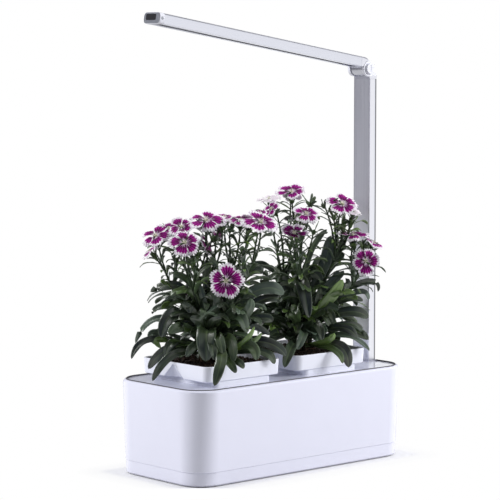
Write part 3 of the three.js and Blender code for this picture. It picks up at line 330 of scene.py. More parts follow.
def square_to(vectors, slopes):
    """Unit vectors left when the part along unit slopes is taken off."""
    return unit(vectors - slopes * np.sum(vectors * slopes, axis=-1, keepdims=True))


def bezier(start, knee, end, share):
    """Points and unit slopes of quadratic curves, items x shares x 3.

    The start, knee and end are weighed by the squares and twice the product of the share and its rest.
    """
    s = share[None, :, None]
    a, b, c = start[:, None], knee[:, None], end[:, None]
    points = (1 - s) ** 2 * a + 2 * s * (1 - s) * b + s ** 2 * c
    slopes = unit((1 - s) * (b - a) + s * (c - b))
    return points, slopes


def arch(controls, share):
    """Points and unit slopes of cubic curves, items x shares x 3: four controls weighed by binomials."""
    s = share[None, :, None]
    a, b, c, d = [control[:, None] for control in controls]
    points = (1 - s) ** 3 * a + 3 * s * (1 - s) ** 2 * b + 3 * s ** 2 * (1 - s) * c + s ** 3 * d
    slopes = unit((1 - s) ** 2 * (b - a) + 2 * s * (1 - s) * (c - b) + s ** 2 * (d - c))
    return points, slopes


# finishes of the carried-over solids

WHITE = srgb(236, 237, 254)
WARM_WHITE = srgb(240, 241, 250)
# colour of the painted shade on the post's edges and the barrel's underside
ALLOY_PAINTED_SHADE = srgb(96, 98, 104)
SHADE_BLUR, COAT_BLUR = 0.5 * MM, 0.3 * MM
POST_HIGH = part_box("post_extrusion")[1]
# painted reflection: the post is darker where it turns to its far side and its back, standing for the dark
# cards that these faces mirror
POST_PAINTED_REFLECTIONS = [(0, POST_HIGH[0] - 3.2 * MM, 1, 0.9), (1, POST_HIGH[1] - 3.0 * MM, 1, 0.25)]
# the yoke is white above its collar, and the underside of the barrel is darkened as painted shade
YOKE_COAT_HEIGHT, BARREL_SHADE_HEIGHT = 488.4 * MM, 498.5 * MM
CAST_SCALE, POST_SCALE, ARM_SCALE = (60, 60, 60), (500, 500, 6), (6, 500, 500)
ZINC = metal("steel_zinc", srgb(188, 190, 196), 0.3, CAST_SCALE)
RUBBER = plastic("rubber_black", srgb(34, 35, 40), 0.85, bump=0.3, scale=500)
SHELL_WHITE = plastic("shell_white", WHITE, 0.15, bump=0.012, varied=0.005, gloss=1.0)
# each finish with the solids that have it, besides zinc screws and rubber feet
PAINTED = [
    (SHELL_WHITE, ["outer_shell"]),
    (plastic("cover_white", WHITE, 0.22, varied=0.005, gloss=0.9), ["bottom_cover"]),
    (plastic("liner_grey", srgb(196, 200, 210), 0.5, bump=0.06), ["water_tank", "float_guide"]),
    (plastic("float_orange", srgb(228, 138, 42), 0.6, bump=0.3, scale=600), ["level_float"]),
    (plastic("board_green", srgb(30, 88, 58), 0.4, bump=0.1), ["control_board"]),
    (plastic("plastic_black", srgb(20, 21, 24), 0.35, bump=0.05),
     ["dc_inlet", "led_board", "friction_washer_front", "friction_washer_rear"]),
    (plastic("deck_silver", srgb(226, 228, 242), 0.1, bump=0.01, metallic=0.2, gloss=0.7), ["deck_plate"]),
    (plastic("pot_white", srgb(238, 240, 252), 0.18, bump=0.012, coat=0.3, varied=0.005),
     ["pot_left", "pot_right"]),
    (plastic("wick_felt", srgb(232, 228, 214), 1.0, bump=0.6, scale=700), ["wick_left", "wick_right"]),
    (metal("alloy_satin", srgb(226, 227, 238), 0.34, POST_SCALE, 0.02), ["post_foot"]),
    (metal("alloy_post", srgb(246, 247, 254), 0.34, POST_SCALE, 0.02, POST_PAINTED_REFLECTIONS), ["post_extrusion"]),
    (metal("alloy_arm", srgb(232, 234, 244), 0.28, ARM_SCALE, 0.02), ["arm_channel"]),
    (plastic("cap_white", WARM_WHITE, 0.28), ["hinge_cap_front", "hinge_cap_rear", "arm_tip_cap"]),
    (metal("cast_yoke", WARM_WHITE, 0.3, CAST_SCALE, 0.02, painted=YOKE_COAT_HEIGHT), ["lamp_yoke"]),
    # painted shade on the underside of the barrel
    (metal("cast_barrel", WARM_WHITE, 0.3, CAST_SCALE, 0.02, [(2, BARREL_SHADE_HEIGHT, -1, 0.5)]),
     ["arm_knuckle"]),
    (plastic("lens_smoked", srgb(22, 23, 28), 0.35, bump=0.01, gloss=0.25), ["lamp_lens"]),
    (plastic("led_yellow", srgb(240, 232, 180), 0.5), ["led_strip_front", "led_strip_rear"]),
    (plastic("bezel_silver", srgb(168, 171, 180), 0.3, metallic=0.7), ["tip_bezel", "tip_side_plug"]),
    (plastic("window_black", srgb(12, 12, 15), 0.06, bump=0.0, coat=1.0), ["touch_window"]),
]
FINISHES = {solid: finish for finish, solids in PAINTED for solid in solids}
# widths of softened edges, in mm
EDGE_WIDTHS = {
    "outer_shell": 0.4, "bottom_cover": 0.4, "pot_left": 0.5, "pot_right": 0.5, "deck_plate": 0.2,
    "lamp_yoke": 0.5, "arm_knuckle": 0.4, "arm_tip_cap": 0.3, "arm_channel": 0.2, "post_extrusion": 0.3,
    "hinge_cap_front": 0.2, "hinge_cap_rear": 0.2,
}


WELD_GAP = 0.002 * MM
BEVEL_ANGLE, SPLIT_ANGLE = math.radians(32), math.radians(31)


def dress(name, shape):
    """Gives a carried-over solid its finish, soft edges and smooth round faces."""
    finish = RUBBER if name.startswith("rubber") else ZINC
    shape.data.materials.clear()
    shape.data.materials.append(FINISHES.get(name, finish))
    shape.data.polygons.foreach_set("use_smooth", np.full(len(shape.data.polygons), True))
    weld = shape.modifiers.new("weld", "WELD")
    weld.merge_threshold = WELD_GAP
    if name in EDGE_WIDTHS:
        bevel = shape.modifiers.new("soft_edges", "BEVEL")
        bevel.width, bevel.segments, bevel.limit_method = EDGE_WIDTHS[name] * MM, 2, "ANGLE"
        bevel.angle_limit, bevel.harden_normals = BEVEL_ANGLE, False
    split = shape.modifiers.new("sharp_edges", "EDGE_SPLIT")
    split.split_angle = SPLIT_ANGLE
    flat = shape.modifiers.new("flat_faces", "WEIGHTED_NORMAL")
    flat.mode, flat.weight, flat.keep_sharp = "FACE_AREA", 90, False


for node_name, node in nodes.items():
    dress(node_name, node)


# dark bead round the deck as painted shade of its groove, and bead in the seam of the base

SHELL_CORNER = 36 * MM
# painted shade: a dark grey bead in the gap round the deck stands for the shade in that groove
GROOVE_SHADE_GREY = plastic("groove_shade_grey", srgb(84, 82, 88), 0.55, bump=0.1, scale=1500)


def ring_bead(name, part, level, corner, half_width, rise, finish, corner_points=13, sides=8):
    """Bead along a part's outline at one level: a low oval section carried along a rounded rectangle."""
    low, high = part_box(part)
    half = np.array([high[0] - low[0], high[1] - low[1]]) / 2
    middle = np.array([high[0] + low[0], high[1] + low[1]]) / 2
    turn = np.linspace(0, np.pi / 2, corner_points)[None, :] + (np.arange(4) * np.pi / 2)[:, None]
    signs = np.array([[1, 1], [-1, 1], [-1, -1], [1, -1]])
    heading = np.stack([np.cos(turn), np.sin(turn)], axis=-1)
    path = (middle + signs * (half - corner))[:, None] + heading * corner
    heading, path = heading.reshape(-1, 2), path.reshape(-1, 2)
    angle = np.linspace(0, 2 * np.pi, sides, endpoint=False)
    flat = path[:, None] + heading[:, None] * (half_width * np.cos(angle))[None, :, None]
    height = np.broadcast_to(level + rise * np.sin(angle), flat.shape[:2])
    points = np.concatenate([flat, height[..., None]], axis=-1).reshape(-1, 3)
    rows = len(path)
    row, spot = np.meshgrid(np.arange(rows), np.arange(sides), indexing="ij")
    after_row, after = (row + 1) % rows, (spot + 1) % sides
    quads = np.stack([
        row * sides + spot, after_row * sides + spot, after_row * sides + after, row * sides + after,
    ], axis=-1).reshape(-1, 4)
    settle(mesh_object(name, points, quads), finish, "base")


SHELL_LOW, SHELL_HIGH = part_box("outer_shell")
COVER_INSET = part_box("bottom_cover")[0][0] - SHELL_LOW[0]
DECK_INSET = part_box("deck_plate")[0][0] - SHELL_LOW[0]
DECK_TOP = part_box("deck_plate")[1][2]
ring_bead(
    "deck_groove_shade", "deck_plate", DECK_TOP, SHELL_CORNER - DECK_INSET, 0.9 * MM, 1.7 * MM, GROOVE_SHADE_GREY,
)
ring_bead(
    "seam_bead", "bottom_cover", SHELL_LOW[2] - 0.1 * MM, SHELL_CORNER - COVER_INSET, 0.72 * MM, 0.5 * MM,
    SHELL_WHITE,
)

# plants

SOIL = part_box("medium_left")[1][2]
BASE_HALF = (SHELL_HIGH[0], SHELL_HIGH[1], 0.0)
PLANT_X = {side: np.mean(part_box(f"pot_{side}"), axis=0)[0] for side in ("left", "right")}

# leaves read off the photo: bend column and row, tip column and row, depths of bend and tip behind the
# plant's middle in mm, width in mm, share of young yellow-green
LEAF_PICKS = {
    "left": [
        (171, 315, 161.3, 337.5, -28, -38, 18, 0), (180, 327.5, 168.5, 333.5, -36, -44, 14, 0.15),
        (152, 320, 135.4, 343, -5, 4, 9, 0), (145, 341, 131.5, 359, -26, -34, 9.5, 0),
        (163.5, 306, 152, 314, 0, 4, 8.5, 0), (172, 285, 150.5, 292, 8, 14, 13, 0),
        (178, 295.5, 162, 297, -4, 0, 14, 0), (187, 290, 176, 294, -14, -16, 11, 0.45),
        (188, 281, 172, 272.5, -6, -4, 11, 0.1), (165, 351, 148.5, 369, -22, -16, 13, 0),
        (169, 357.5, 152.4, 381, -42, -45, 11, 0), (206.5, 333, 206, 362, -54, -64, 25, 0),
        (222, 360, 214.3, 386, -88, -98, 14.5, 0.1), (219, 338, 223.5, 355, -62, -72, 12, 0.1),
        (231, 341, 233.5, 362, -58, -74, 13.5, 0.1), (229, 362, 236, 373, -72, -80, 10.5, 0.1),
        (237, 361, 244, 368.5, -66, -72, 10, 0.05), (239, 317, 247, 333, -34, -42, 18, 0),
        (247.5, 312, 250.6, 298.5, -28, -26, 13, 0.1), (256, 314, 261, 307, -8, -4, 9, 0.1),
        (245, 341, 254.5, 326.5, -50, -48, 7, 1), (250, 344, 262, 333, -40, -38, 7, 0.8),
        (251.5, 347, 256, 360, -48, -56, 15, 0.1), (265, 352.5, 274.5, 364, -26, -24, 11.5, 0.05),
        (268, 343, 286, 355.5, -20, -24, 16, 0), (266, 288, 284, 294.5, 6, 8, 18, 0),
        (269, 298, 281, 302, 4, 8, 13, 0), (254, 271, 268, 276, 12, 14, 11, 0),
        (239, 269, 247.5, 277, -36, -38, 12, 0), (209, 261, 218, 267, 0, -4, 11, 0),
        (216, 303, 217, 287, -22, -20, 9, 0), (229, 306, 230, 291, -18, -14, 9, 0),
        (203, 300, 199, 284, -12, -8, 10, 0), (193, 312, 182, 303, -20, -22, 11, 0),
        (152, 333, 156.5, 345, -14, -22, 9, 0), (158, 340, 161, 348, -34, -38, 8, 0.5),
        (200, 322, 190, 318, -42, -46, 12, 0), (213, 322, 222, 318, -44, -46, 11, 0),
        (196, 345, 186, 357, -46, -58, 12, 0), (212, 345, 214, 360, -66, -76, 12, 0),
        (262, 318, 272, 322, -12, -12, 13, 0), (240, 297, 248, 290, -8, -2, 10, 0),
        (185, 300, 160, 305, 30, 40, 13, 0), (235, 300, 262, 305, 40, 50, 13, 0),
        (205, 300, 195, 292, 48, 64, 14, 0), (178, 325, 154, 335, 32, 42, 13, 0),
        (245, 325, 270, 335, 45, 56, 13, 0), (215, 315, 225, 330, 62, 78, 15, 0),
    ],
    "right": [
        (326.5, 258, 330, 236, 0, 4, 17, 0), (335, 262, 344, 253, 8, 14, 11, 0),
        (330.5, 298, 343, 280, -28, -24, 16, 0.95), (339, 293, 355, 293, -32, -34, 9, 0.6),
        (301, 282, 309, 318, -34, -54, 19, 0), (296, 312, 291.5, 305, -46, -48, 11, 0.3),
        (292, 317, 285, 316, -42, -48, 9, 0.3), (290, 296, 280.5, 298, -20, -24, 14, 0),
        (279, 275, 271, 279, -4, -4, 12, 0), (285, 284, 277, 277, -2, 2, 16, 0),
        (311, 272.5, 322, 281, -8, -12, 15, 0), (319, 258, 325, 264, 0, -4, 8, 0),
        (337, 277, 341, 271.5, -4, 0, 13, 0), (346, 283, 344, 291, -12, -16, 13, 0),
        (370, 281.5, 378, 291.5, 8, 12, 9, 0), (361, 291.5, 368.5, 300, -6, -4, 8.5, 0),
        (348, 299, 363, 301, -14, -12, 9, 0), (352, 311.5, 368.5, 318, -12, -10, 15, 0),
        (354, 324.5, 364.5, 337, -4, 4, 8, 0), (351, 337, 369.4, 350.5, -16, -22, 10.5, 0),
        (343, 349, 349, 367.5, -52, -60, 16.5, 0), (336, 351, 343, 363.5, -56, -62, 9.5, 0.2),
        (290.5, 349, 284.5, 367.5, -74, -98, 14, 0), (278, 323, 264.5, 324, -12, -14, 10, 0.15),
        (272, 327, 280, 336, -24, -30, 8, 0.9), (329, 340, 334, 333, -50, -48, 9, 0.9),
        (329, 312, 333.5, 324, -38, -44, 10, 0.1), (262, 281, 272, 284, 4, 8, 7, 0),
        (313, 247, 327, 229.5, -4, 0, 9, 0), (318, 325, 322, 340, -52, -62, 12, 0),
        (303, 335, 297, 350, -58, -70, 12, 0), (282, 334, 268, 342, -26, -30, 13, 0),
        (345, 328, 357, 338, -26, -30, 12, 0), (318, 302, 320, 288, -20, -16, 12, 0),
        (297, 290, 292, 278, -12, -8, 12, 0), (310, 300, 305, 288, 44, 60, 14, 0),
        (280, 305, 262, 312, 36, 48, 13, 0), (335, 305, 355, 312, 44, 56, 13, 0),
        (310, 318, 300, 330, 60, 76, 15, 0), (340, 325, 358, 335, 40, 50, 13, 0),
        (285, 325, 268, 332, 38, 50, 13, 0),
    ],
}
# flowers read off the photo: column, row, depth, radius in mm, yaw off the view and pitch in degrees,
# stem number, share of white
FLOWER_PICKS = {
    "left": [
        (155.5, 236.5, 18, 18.5, -25, 57, 0, 0), (184.5, 243, -28, 18, 5, 36, 1, 0),
        (205.5, 221, 8, 21, 0, 66, 2, 0), (206, 243.6, 24, 12, 70, 25, 2, 0.03),
        (241, 221, 36, 14, 10, 64, 3, 0.02), (260.3, 222.8, -14, 20.5, 25, 62, 4, 0),
        (225.8, 281, -44, 19, 8, 12, 5, 0), (181.5, 227, -2, 14, -10, 42, 1, 0),
        (169, 228.5, 26, 10, -25, 50, 0, 0), (150, 251.5, 2, 11.5, -82, 50, 0, 0.02),
        (224.5, 217.5, 44, 11.5, 0, 78, 3, 0), (260, 213, 12, 8.5, -10, 72, 4, 0),
        (217, 233.5, 22, 8, 50, 50, 2, 0.03), (184, 241, 46, 15, 160, 52, 6, 0),
        (205, 223, 54, 12, -170, 40, 6, 0), (253, 223, 46, 14, 150, 50, 7, 0),
    ],
    "right": [
        (291.5, 192.5, 4, 17.5, -10, 66, 0, 0), (269, 199.5, 30, 14, -40, 74, 1, 0.8),
        (271.7, 209, 8, 10.5, -40, 40, 1, 0), (306, 214.5, -28, 16, 20, 60, 2, 0),
        (294.5, 231, -42, 15, -10, -54, 2, 0), (342, 204.4, -12, 18.5, 15, 50, 3, 0),
        (352.5, 235.5, 0, 18.5, 15, 80, 4, 0), (365.5, 261, -20, 15.5, 10, 14, 4, 0),
        (295, 217.5, 24, 13, -30, 70, 1, 0.75), (373.5, 243.5, 2, 14, 75, 62, 4, 0),
        (354, 212, -4, 9, 30, 60, 3, 0.9), (292, 194, 48, 13, 170, 48, 5, 0),
        (341, 205, 44, 12, -160, 50, 6, 0), (304, 215, 50, 13, 150, 40, 5, 0),
    ],
}
# buds: column, row, depth, radius in mm, yaw, pitch, stem number
BUD_PICKS = {
    "left": [
        (215.5, 235, 6, 2.6, 0, 70, 2), (198, 252, -26, 2.6, 10, 75, 1), (230, 226, 30, 2.8, 10, 80, 3),
        (222, 224, 12, 2.8, -10, 80, 2), (193, 258, -30, 2.6, -20, 75, 1), (247, 236, 28, 2.6, 10, 78, 3),
        (243, 262, -34, 2.4, 0, 80, 5), (176, 258, 14, 2.4, -10, 78, 0),
    ],
    "right": [
        (310.7, 202, 8, 3, 10, 60, 0), (321, 204, -4, 2.4, -60, 40, 3),
        (314.6, 229.5, -30, 2.6, 20, 50, 2), (354, 243, -8, 2.7, -20, 80, 4),
        (363, 242, -6, 2.7, 10, 80, 4), (369, 248, -4, 2.7, 40, 70, 4), (333, 214, -10, 2.6, -30, 70, 3),
        (290, 243, -36, 2.6, -10, 78, 2), (296, 244, -34, 2.6, 20, 78, 2), (351, 222, -8, 2.6, 30, 70, 3),
        (277, 246, 12, 2.4, -10, 75, 1), (342, 224, -6, 2.6, 0, 75, 3),
    ],
}

# camera fitted to the photo: its bearing, height angle and distance, its focal length and middle in pixels,
# the sensor width in mm, and where it aims
AZIMUTH, ELEVATION, DISTANCE = math.radians(-41.65), math.radians(5.24), 2.72229
FOCAL_PIXELS, PHOTO_MIDDLE = 2163.69, 250
LENS_WIDTH = 36
AIM_ASIDE, AIM_HEIGHT = -0.01733, 0.27089
RISING = np.array([0, 0, 1])
LEVEL = np.array([1, 1, 0])
BACK = np.array([
    math.sin(AZIMUTH) * math.cos(ELEVATION), -math.cos(AZIMUTH) * math.cos(ELEVATION), math.sin(ELEVATION),
])
RIGHT = np.array([math.cos(AZIMUTH), math.sin(AZIMUTH), 0])
UP = np.cross(BACK, RIGHT)
AWAY = np.array([-math.sin(AZIMUTH), math.cos(AZIMUTH), 0])
EYE = BACK * DISTANCE + RIGHT * AIM_ASIDE + RISING * AIM_HEIGHT
# a direction that no stem has
STEM_SIDE = np.array([0.36, 0.48, 0.8])


def photo_points(columns, rows, depths, centre):
    """Where sight lines through photo pixels meet upright planes at depths behind a centre."""
    aside = RIGHT * (columns - PHOTO_MIDDLE)[:, None]
    rays = aside + UP * (PHOTO_MIDDLE - rows)[:, None] - BACK * FOCAL_PIXELS
    planes = centre + AWAY * depths[:, None]
    reach = ((planes - EYE) @ AWAY) / (rays @ AWAY)
    return EYE + rays * reach[:, None]


def cap_quads(items, rows, ring):
    """Quads that close both ends of each tube by pairing its ring points across."""
    item, spot = np.meshgrid(np.arange(items), np.arange(ring // 2 - 1), indexing="ij")
    start = item * rows * ring
    last = start + ring - 1 - spot
    low = np.stack([start + spot, last, last - 1, start + spot + 1], axis=-1)
    high = low[..., ::-1] + (rows - 1) * ring
    return np.concatenate([low.reshape(-1, 4), high.reshape(-1, 4)])


def closed_tubes(name, points, values):
    """Mesh of closed tubes: points are items x rows x ring x 3, values are items x rows x ring each.

    The quads are turned over where the volume that they enclose comes out negative.
    """
    items, rows, ring = points.shape[:3]
    quads = np.concatenate([strip_quads(items, rows, ring), cap_quads(items, rows, ring)])
    flat = points.reshape(-1, 3)
    corner = flat[quads] - flat.mean(axis=0)
    volume = np.einsum("ij,ij->i", corner[:, 0], np.cross(corner[:, 1], corner[:, 2]))
    volume += np.einsum("ij,ij->i", corner[:, 0], np.cross(corner[:, 2], corner[:, 3]))
    if volume.sum() < 0:
        quads = quads[:, ::-1]
    spread = {key: np.broadcast_to(value, points.shape[:3]) for key, value in values.items()}
    return mesh_object(name, flat, quads, spread)


def turn_about(vectors, axes, angles):
    """Vectors turned about unit axes by angles in radians."""
    cosine, sine = np.cos(angles)[..., None], np.sin(angles)[..., None]
    along = np.sum(vectors * axes, axis=-1, keepdims=True)
    return vectors * cosine + np.cross(axes, vectors) * sine + axes * along * (1 - cosine)


def blade_points(controls, widths, rolls, stations, half_count, thickness, twist, facing):
    """Leaf blades along bent midribs.

    The width swells from a narrow foot, is broadest past the middle and rounds off to a blunt tip. The section
    is a shallow channel whose edges rise, wave a little and roll back near the tip. The under side lies a
    thickness below. Stations crowd towards the tip, as the sine of an even share, so that its round end is
    smooth. Facing is the share by which the blade turns its flat side to the photo's side.
    """
    items = len(widths)
    share = 0.35 * np.linspace(0, 1, stations) + 0.65 * np.sin(np.linspace(0, np.pi / 2, stations))
    spine, slope = arch(controls, share)
    outward = unit((controls[3] - controls[0]) * LEVEL)
    side = np.stack([-outward[:, 1], outward[:, 0], np.zeros(items)], axis=-1)
    side = square_to(np.broadcast_to(side[:, None], spine.shape), slope)
    flat = unit(np.cross(slope, BACK))
    flat = flat * np.where(np.sum(flat * side, axis=-1, keepdims=True) < 0, -1, 1)
    side = square_to(unit((1 - facing) * side + facing * flat), slope)
    angles = rolls[:, None] + rng.normal(0, twist, items)[:, None] * (share[None] ** 1.5)
    side = turn_about(side, slope, angles)
    normal = np.cross(slope, side)
    normal *= np.where(normal[:, :1, 2:] < 0, -1, 1)
    foot = 0.34 + 0.66 * np.sin(np.clip(share / 0.6, 0, 1) * np.pi / 2) ** 1.3
    tip = 1 - 0.16 * np.clip((share - 0.6) / 0.4, 0, 1) ** 2
    tip = tip * np.sqrt(np.clip(1 - np.clip((share - 0.74) / 0.26, 0, 1) ** 2.4, 0.0004, 1))
    width = widths[:, None] * (foot * tip)[None] / 2
    over = np.linspace(-1, 1, 2 * half_count + 1)
    lean = np.concatenate([over, over[::-1]])[None, None]
    under = np.repeat([0.0, 1.0], len(over))[None, None]
    phase = rng.uniform(0, 2 * np.pi, items)[:, None, None]
    waves = rng.uniform(1.5, 3, items)[:, None, None]
    far = share[None, :, None]
    wave = np.sin(phase + lean * 0.8 + 2 * np.pi * waves * far)
    fold = rng.uniform(0.12, 0.4, items)[:, None, None]
    lift = fold * np.abs(lean) ** 1.2 - 0.22 * far ** 2 * lean ** 2 + 0.17 * wave * lean ** 2
    groove = thickness * 0.6 * np.exp(-(lean / 0.12) ** 2)
    thick = thickness * (1 + 0.8 * np.exp(-(lean / 0.18) ** 2)) * (1 - 0.75 * lean ** 6)
    height = width[..., None] * lift - under * thick - (1 - under) * groove
    points = spine[:, :, None] + side[:, :, None] * (width[..., None] * lean)[..., None]
    points = points + normal[:, :, None] * height[..., None]
    return points, {"across": lean, "under": under}


def circles(first, second, sides):
    """Unit circles in the planes of two arrays of unit vectors: ... x sides x 3."""
    angle = np.linspace(0, 2 * np.pi, sides, endpoint=False)[:, None]
    return first[..., None, :] * np.cos(angle) + second[..., None, :] * np.sin(angle)


def tube_points(starts, knees, ends, radii, stations, sides=7, nodes=0):
    """Round stems: circles along bent midlines, thinner upwards, swollen as a bell curve at each joint."""
    share = np.linspace(0, 1, stations)
    spine, slope = bezier(starts, knees, ends, share)
    flat = unit(np.cross(unit(ends - starts), STEM_SIDE))
    side = square_to(np.broadcast_to(flat[:, None], spine.shape), slope)
    swell = np.ones(stations)
    for joint in range(1, nodes + 1):
        swell = swell + 0.55 * np.exp(-((share - joint / (nodes + 1)) / 0.03) ** 2)
    radius = radii[:, None] * (1.1 - 0.3 * share) * swell
    ring = circles(side, np.cross(slope, side), sides)
    return spine[:, :, None] + ring * radius[..., None, None], {"along": share[None, :, None]}


def frames(faces):
    """Two unit vectors square to each face direction."""
    first = unit(np.cross(RISING, faces) + 1e-9)
    return first, np.cross(faces, first)


def around(axes, turns):
    """Unit vectors square to each axis, at turns round it."""
    first, second = frames(axes)
    return first * np.cos(turns)[:, None] + second * np.sin(turns)[:, None]


def petal_points(centres, faces, radii, petals=5, rows=14, columns=43, thickness=0.22 * MM):
    """Five fringed petals to a flower.

    Each petal is a wedge in polar form: narrow at the claw, rounded and toothed at the rim. It rises from the
    throat as a sine, spreads nearly flat, droops at the rim by a square and ruffles; one edge lies over the
    next petal.
    """
    items = len(centres) * petals
    pick = np.repeat(np.arange(len(centres)), petals)
    first, second = frames(faces)
    along = np.linspace(0.06, 1, rows)[None, :, None]
    over = np.linspace(-1, 1, columns)
    across = np.concatenate([over, over[::-1]])[None, None]
    under = np.repeat([0.0, 1.0], columns)[None, None]
    start = rng.uniform(0, 2 * np.pi, len(centres))[pick]
    start = start + np.tile(np.arange(petals), len(centres)) * 2 * np.pi / petals
    start = (start + rng.normal(0, 0.09, items))[:, None, None]
    span = np.radians(rng.uniform(68, 84, items))[:, None, None]
    teeth = rng.uniform(3.6, 4.8, items)[:, None, None]
    shift = rng.uniform(0, 1, items)[:, None, None]
    saw = np.abs(((across * teeth + shift) % 1) * 2 - 1) * (0.7 + 0.3 * np.sin(across * 7 + shift * 9))
    fine = np.abs(((across * teeth * 2.7 + shift) % 1) * 2 - 1)
    saw = 0.7 * saw + 0.3 * fine
    rim = 1 - 0.2 * np.abs(across) ** 2.4 + rng.normal(0, 0.07, items)[:, None, None]
    angle = start + across * span / 2 * (0.34 + 0.66 * np.clip(along / 0.6, 0, 1) ** 0.9)
    size = radii[pick][:, None, None]
    reach = size * (1.24 * along * rim - 0.27 * along ** 6 * saw)
    droop = rng.uniform(-0.06, 0.3, items)[:, None, None]
    ruffle = rng.uniform(0.03, 0.09, items)[:, None, None]
    height = 0.12 * np.sin(np.pi * np.clip(along / 0.5, 0, 1) / 2)
    height = height - droop * np.clip(along - 0.35, 0, 1) ** 2 * 2.2
    height = height + ruffle * along ** 2 * np.sin(across * 5 + shift * 6) + 0.06 * across * along ** 0.5
    height = height + 0.012 * np.cos(across * 22 + shift * 5) * along ** 2
    height = size * height - under * thickness * (1 - 0.7 * along ** 8)
    first, second, face, centre = [kept[pick][:, None, None] for kept in (first, second, faces, centres)]
    round_part = first * np.cos(angle)[..., None] + second * np.sin(angle)[..., None]
    points = centre + round_part * reach[..., None] + face * height[..., None]
    return points, {"along": along - 0.1 * saw * along ** 5, "across": across, "under": under}


def leaf_material():
    """Waxy leaf: dark green, bluish bloom partly painted sheen, pale midrib, margin pale and with a painted
    highlight, faint long veins, lighter underneath.
    """
    material, tree = new_material("dianthus_leaf")
    tone, across = tree.attribute("tone"), tree.attribute("across")
    grain, mask = effect(tree, GRAIN, 2500)
    # bluish bloom on some leaves by tone, partly their waxy bloom and partly painted sheen
    bloom_and_sheen = tree.times(tree.minus(tone, 0.62, clamp=True), 1.1)
    veins = tree.math("SINE", tree.times(across, 24.0))
    veins = tree.times(tree.plus(veins, 1.0), 0.03)
    aside = tree.math("ABSOLUTE", across)
    rib = tree.minus(1.0, tree.math("DIVIDE", aside, 0.14), clamp=True)
    colour = tree.coats(srgb(10, 17, 7), [
        (tone, (46, 62, 32)),
        (bloom_and_sheen, (104, 120, 118)),
        (tree.attribute("young"), (108, 142, 40)),
        (tree.times(mask, 0.18), (80, 98, 94)),
        (veins, (128, 150, 110)),
        (tree.times(rib, 0.2), (150, 172, 118)),
        (tree.times(tree.attribute("under"), 0.3), (90, 108, 82)),
        # pale margin, partly the leaf's own colour and partly a painted edge highlight
        (tree.times(tree.math("GREATER_THAN", aside, 0.95), 0.28), (128, 148, 116)),
    ])
    height = tree.plus(grain, tree.times(veins, 7.0))
    return surface(material, tree, colour, 0.34, height, 0.25, 0.3, {"Specular IOR Level": 0.95})


def stem_material():
    """Green stem, browner and woodier towards its foot."""
    material, tree = new_material("dianthus_stem")
    low = tree.minus(1.0, tree.times(tree.attribute("along"), 1.8), clamp=True)
    brown = tree.times(tree.attribute("foot"), low)
    base = tree.mix(brown, srgb(40, 56, 32), srgb(66, 52, 40))
    noise = tree.add("ShaderNodeTexNoise", {"Vector": object_vector(tree), "Scale": 900.0})
    return surface(material, tree, base, 0.5, noise.outputs[0], 0.3, 0.3)


def petal_material():
    """Petal colours by place: pale eye with rays, deep throat, magenta blade with pale lines, white rim, backs
    whitened partly as painted light.
    """
    material, tree = new_material("dianthus_petal")
    along, across = tree.attribute("along"), tree.attribute("across")
    wobble = tree.add("ShaderNodeTexNoise", {"Vector": object_vector(tree), "Scale": 600.0, "Detail": 2.0})
    wobble = tree.times(tree.minus(wobble.outputs[0], 0.5), 0.2)
    streak = tree.times(tree.attribute("tone"), 9.0)
    streak = tree.math("SINE", tree.plus(tree.times(across, 19.0), streak))
    place = tree.plus(along, wobble)
    place = tree.plus(place, tree.times(streak, 0.05))
    inward = tree.times(tree.minus(1.0, tree.math("ABSOLUTE", across)), along)
    edge = tree.minus(1.0, tree.times(inward, 2.6))
    claw = tree.times(tree.minus(0.6, along, clamp=True), 2.0)
    outer = tree.math("MAXIMUM", place, tree.minus(edge, claw))
    white, magenta, deep = srgb(244, 240, 248), srgb(136, 14, 116), srgb(80, 2, 66)
    blade = tree.ramp(outer, [
        (0.0, deep), (0.42, deep), (0.6, magenta), (0.73, magenta), (0.78, white), (1.0, white),
    ])
    rays = tree.math("ABSOLUTE", tree.math("SINE", tree.times(across, 4.7)))
    throat = tree.plus(tree.times(rays, 0.2), tree.plus(place, 0.02))
    heart = tree.ramp(throat, [(0.0, 1), (0.33, 1), (0.43, 0), (1.0, 0)])
    eye = tree.ramp(along, [(0.0, 1), (0.12, 1), (0.2, 0), (1.0, 0)])
    colour = tree.coats(blade, [
        (heart, (226, 208, 232)),
        (eye, (222, 222, 200)),
        (tree.times(tree.math("GREATER_THAN", streak, 0.82), 0.4), (196, 110, 184)),
        (tree.attribute("pale"), (240, 232, 240)),
        # pale backs: partly the petals' own paler back, partly painted light for light shining through
        (tree.times(tree.attribute("under"), 0.82), (236, 228, 238)),
    ])
    shader = tree.add("ShaderNodeBsdfPrincipled", {
        "Base Color": colour, "Roughness": 0.7, "Specular IOR Level": 0.12, "Subsurface Weight": 0.35,
        "Subsurface Radius": (1.0, 0.8, 1.0), "Subsurface Scale": 0.6 * MM,
    })
    finish_material(tree, shader.outputs[0])
    return material


LEAF, STEM, PETAL = leaf_material(), stem_material(), petal_material()
CALYX = plastic("dianthus_calyx", srgb(62, 84, 42), 0.5, bump=0.3, scale=1500, varied=0.15)
STAMEN = plastic("dianthus_stamen", srgb(236, 236, 214), 0.6, bump=0.1, scale=1500, varied=0.05)
ROOM_LOW, ROOM_HIGH = np.array(cad_box[0]), np.array(cad_box[1])
# limits for the tips of the leaves on the shoots, in X and in Y
SHOOT_ROOM = {
    "left": ((-0.1735, -0.0265), (-0.072, 0.0735)), "right": ((-0.0015, 0.1455), (-0.0725, 0.0735)),
}
# how far these tips stay above the compost, and how deep in it the stems start
TIP_CLEARANCE, ROOT_DEPTH = 8.5 * MM, 3 * MM
